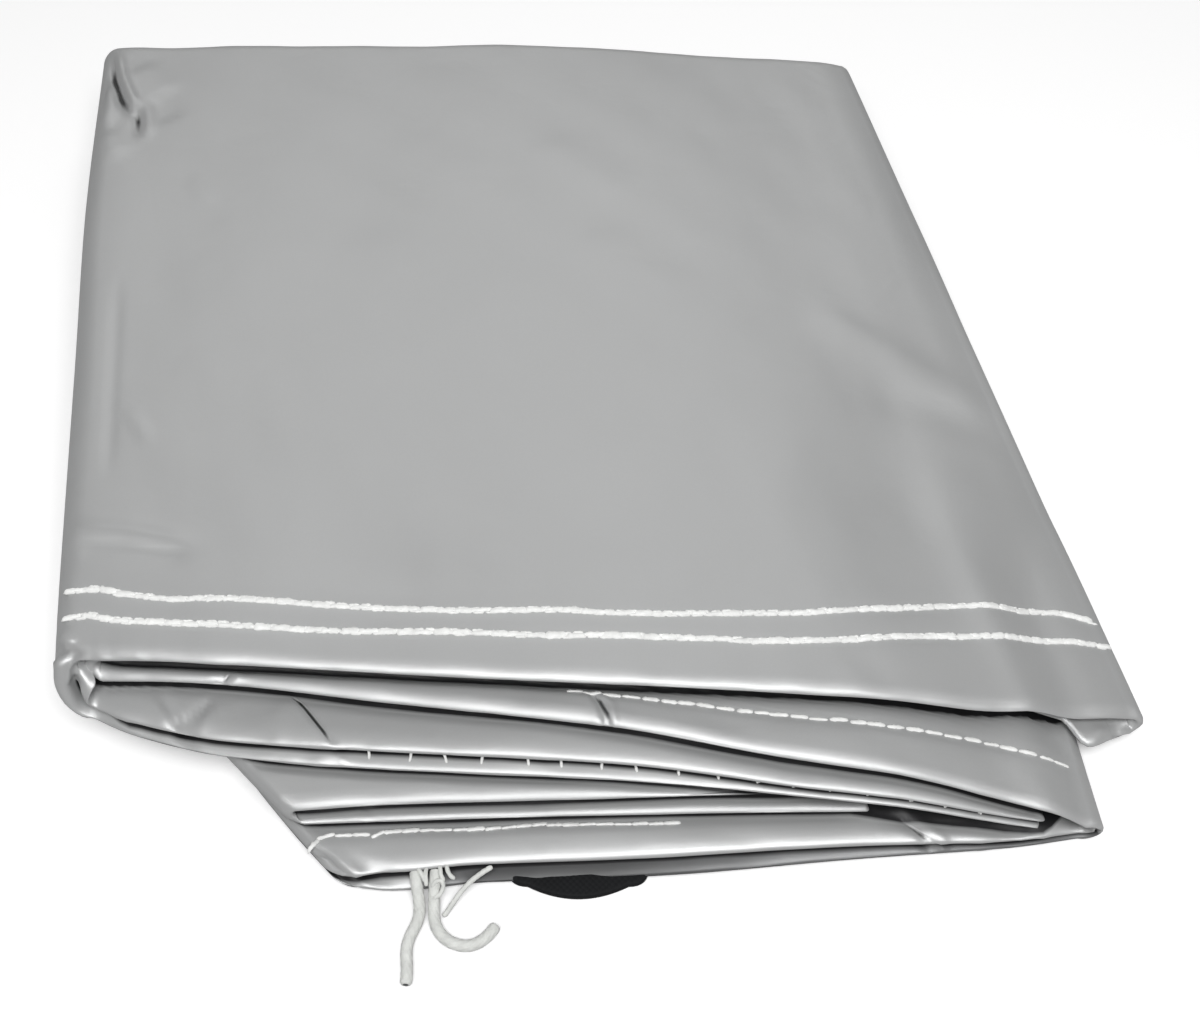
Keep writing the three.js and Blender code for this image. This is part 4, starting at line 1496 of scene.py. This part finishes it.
# %% [markdown]
# ## Threads across the slit
# In the middle layer the slit between the two hems is crossed by single threads about every 13 mm.
# Each one follows the skin from the upper roll to the lower one and stands a little proud, so the
# skin's own points and normals give its path.

# %% Slit threads
slit_thread_diameter = 1.0
slit_thread_pitch = 13.2
slit_threads_from, slit_threads_to = -55, 160


def slit_threads(points, names):
    rows = np.flatnonzero((names == "middle") & (points[:, 0, 0] > -120))
    normals = grid_normals(points)
    start = back_count + near_count + round(0.3 * hem_count)
    stop = back_count + near_count + round(0.68 * hem_count)
    chance = np.random.default_rng(11)
    parts = []
    for x in np.arange(slit_threads_from, slit_threads_to, slit_thread_pitch):
        place = x + chance.uniform(-1.5, 1.5)
        after = np.searchsorted(points[rows, start, 0], place)
        pair = rows[[after - 1, after]]
        share = (place - points[pair[0], start, 0]) / np.diff(points[pair, start, 0])[0]
        ring_points = lerp(points[pair[0], start:stop], points[pair[1], start:stop], share)
        path = ring_points + 0.1 * normals[pair[0], start:stop]
        proud = path[[0, 1, -2, -1]]
        proud[:, 0] += np.linspace(-0.6, 0.6, 4) * chance.uniform(-1, 1)
        parts.append(twisted_strand(proud, slit_thread_diameter, sides=10, spacing=0.5))
    return parts


across_slit = slit_threads(cloth_points, band_layer)
add_piece("slit_stitches", *joined(across_slit), [thread_white], "white_cord")
print("threads across the slit:", len(across_slit))

# %% [markdown]
# ## The black tab
# A piece of black webbing with rounded corners peeps out from under the middle of the front. It is a
# flat outline with a rounded rim: the outline is walked once, and a few copies of it, drawn in and
# lifted, make the rim. Its weave is the shared group at a coarser pitch.

# %% Black webbing material
def make_webbing():
    material, tree, shader, place = start_material("black_webbing")
    tone = place_group(
        tree,
        uneven_tone,
        {
            "Place": place,
            "Colour": (0.0045, 0.005, 0.006, 1),
            "Patches per metre": 60.0,
            "Patch strength": 0.5,
            "Specks per metre": 2500.0,
            "Speck strength": 0.5,
        },
    )
    tree.links.new(tone["Colour"], shader.inputs["Base Color"])
    threads = place_group(tree, weave, {"Threads per metre": 900.0})
    tree.links.new(bump(tree, threads["Height"], 0.6, 0.0002), shader.inputs["Normal"])
    shader.inputs["Roughness"].default_value = 0.75
    shader.inputs["Specular IOR Level"].default_value = 0.25
    return material


black_webbing = make_webbing()
print("material:", black_webbing.name)

# %% Tab mesh
tab_low, tab_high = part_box("black_tab")
tab_bow, tab_corner, tab_rim = 4.5, 7.0, 1.2
tab_flat_inset = 6.0
tab_sides = 64


def curve_between(start, pull, end, count):
    t = np.linspace(0, 1, count, endpoint=False)[:, None]
    start, pull, end = (np.asarray(p, float) for p in (start, pull, end))
    return (1 - t) ** 2 * start + 2 * t * (1 - t) * pull + t**2 * end


def tab_outline(inset):
    left, right = tab_low.x / MM + inset, tab_high.x / MM - inset
    front, back = tab_low.y / MM + inset, tab_high.y / MM - inset
    bow_end, pull = front + tab_bow, front - tab_bow
    middle = (left + right) / 2
    corner_left, corner_right = left + tab_corner, right - tab_corner
    corner_back, halfway = bow_end + tab_corner, 0.5 * (back + bow_end)
    return np.vstack([
        curve_between((left, corner_back), (left, bow_end), (corner_left, bow_end), 8),
        curve_between((corner_left, bow_end), (middle, pull), (corner_right, bow_end), 24),
        curve_between((corner_right, bow_end), (right, bow_end), (right, corner_back), 8),
        curve_between((right, corner_back), (right, halfway), (right, back), 8),
        curve_between((right, back), (middle, back), (left, back), 8),
        curve_between((left, back), (left, halfway), (left, corner_back), 8),
    ])


def make_tab():
    height = (tab_high.z - tab_low.z) / MM
    rings = []
    for turn in np.linspace(0, math.pi / 2, 5):
        inset = tab_rim * (1 - math.sin(turn))
        rings.append((inset, tab_rim * (1 - math.cos(turn)) * 0.6))
    rings += [(inset, height - low) for inset, low in rings[::-1]]
    rings.append((tab_flat_inset, height))
    points = [np.column_stack([tab_outline(inset), np.full(tab_sides, z)]) for inset, z in rings]
    points = np.vstack(points)
    faces = tube_faces(len(rings), tab_sides)
    piece = add_piece("black_webbing_tab", points, faces, [black_webbing], "black_webbing")
    lay_out(piece.data, points[:, :2] * MM)
    return piece


tab = make_tab()
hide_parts("black_tab")

# %% [markdown]
# ## Floor and light
# A plain pale floor and large soft lamps keep the attention on the cloth. A weak sky lights it evenly
# from all round. One broad lamp above the front makes the bright rolls along the hems, and a weak one
# at the back keeps the far edge from going dark.

# %% Floor
floor_half = 4.0
floor_height = -0.0003


def make_floor():
    material, tree, shader, place = start_material("pale_floor")
    # The floor itself looks white, but throws back less light, as dark studio walls would
    ray = add_node(tree, "ShaderNodeLightPath").outputs["Is Camera Ray"]
    seen = mix_colours(tree, ray, (0.42, 0.42, 0.42, 1), (0.97, 0.97, 0.97, 1))
    tone = place_group(
        tree,
        uneven_tone,
        {
            "Place": place,
            "Colour": seen,
            "Patches per metre": 2.0,
            "Patch strength": 0.01,
            "Specks per metre": 400.0,
            "Speck strength": 0.01,
        },
    )
    tree.links.new(tone["Colour"], shader.inputs["Base Color"])
    shader.inputs["Roughness"].default_value = 0.8
    shader.inputs["Emission Color"].default_value = (1, 1, 1, 1)
    tree.links.new(maths(tree, "MULTIPLY", ray, 0.16), shader.inputs["Emission Strength"])
    mesh = bpy.data.meshes.new("floor")
    corners = [(-1, -1), (1, -1), (1, 1), (-1, 1)]
    points = [(x * floor_half, y * floor_half, floor_height) for x, y in corners]
    mesh.from_pydata(points, [], [(0, 1, 2, 3)])
    mesh.materials.append(material)
    floor = bpy.data.objects.new("floor", mesh)
    bpy.context.scene.collection.objects.link(floor)
    floor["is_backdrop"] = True
    return floor


floor = make_floor()
print("floor at", floor.data.vertices[0].co.z, "m")

# %% Lights
def add_soft_lamp(name, place, aim, size, watts):
    data = bpy.data.lights.new(name, "AREA")
    data.shape = "RECTANGLE"
    data.size, data.size_y = size
    data.energy = watts
    lamp = bpy.data.objects.new(name, data)
    lamp.location = place
    direction = np.asarray(aim, float) - np.asarray(place, float)
    flat = math.hypot(direction[0], direction[1])
    tilt, turn = math.atan2(flat, -direction[2]), math.atan2(-direction[0], direction[1])
    lamp.rotation_euler = (tilt, 0, turn)
    bpy.context.scene.collection.objects.link(lamp)
    return lamp


world = bpy.data.worlds.new("soft_sky")
world.use_nodes = True
sky = world.node_tree.nodes["Background"]
sky.inputs["Color"].default_value = (1, 1, 1, 1)
sky.inputs["Strength"].default_value = 0.17
bpy.context.scene.world = world
high_lamp = add_soft_lamp("high_lamp", (0.1, -0.9, 1.6), (0, 0, 0), (1.5, 0.8), 32)
back_lamp = add_soft_lamp("back_lamp", (-0.05, 1.2, 1.2), (0, 0, 0), (1.6, 0.8), 3.6)
bpy.context.scene.view_settings.view_transform = "Standard"
print("lamps:", high_lamp.name, back_lamp.name)

# %% [markdown]
# ## Sizes, and the end
# The finished pieces are meant to fill the measured model's box and no more. The box of all pieces
# is printed at the end.

low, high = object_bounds()
print("finished:", tuple(round(v, 3) for v in high - low), "m")
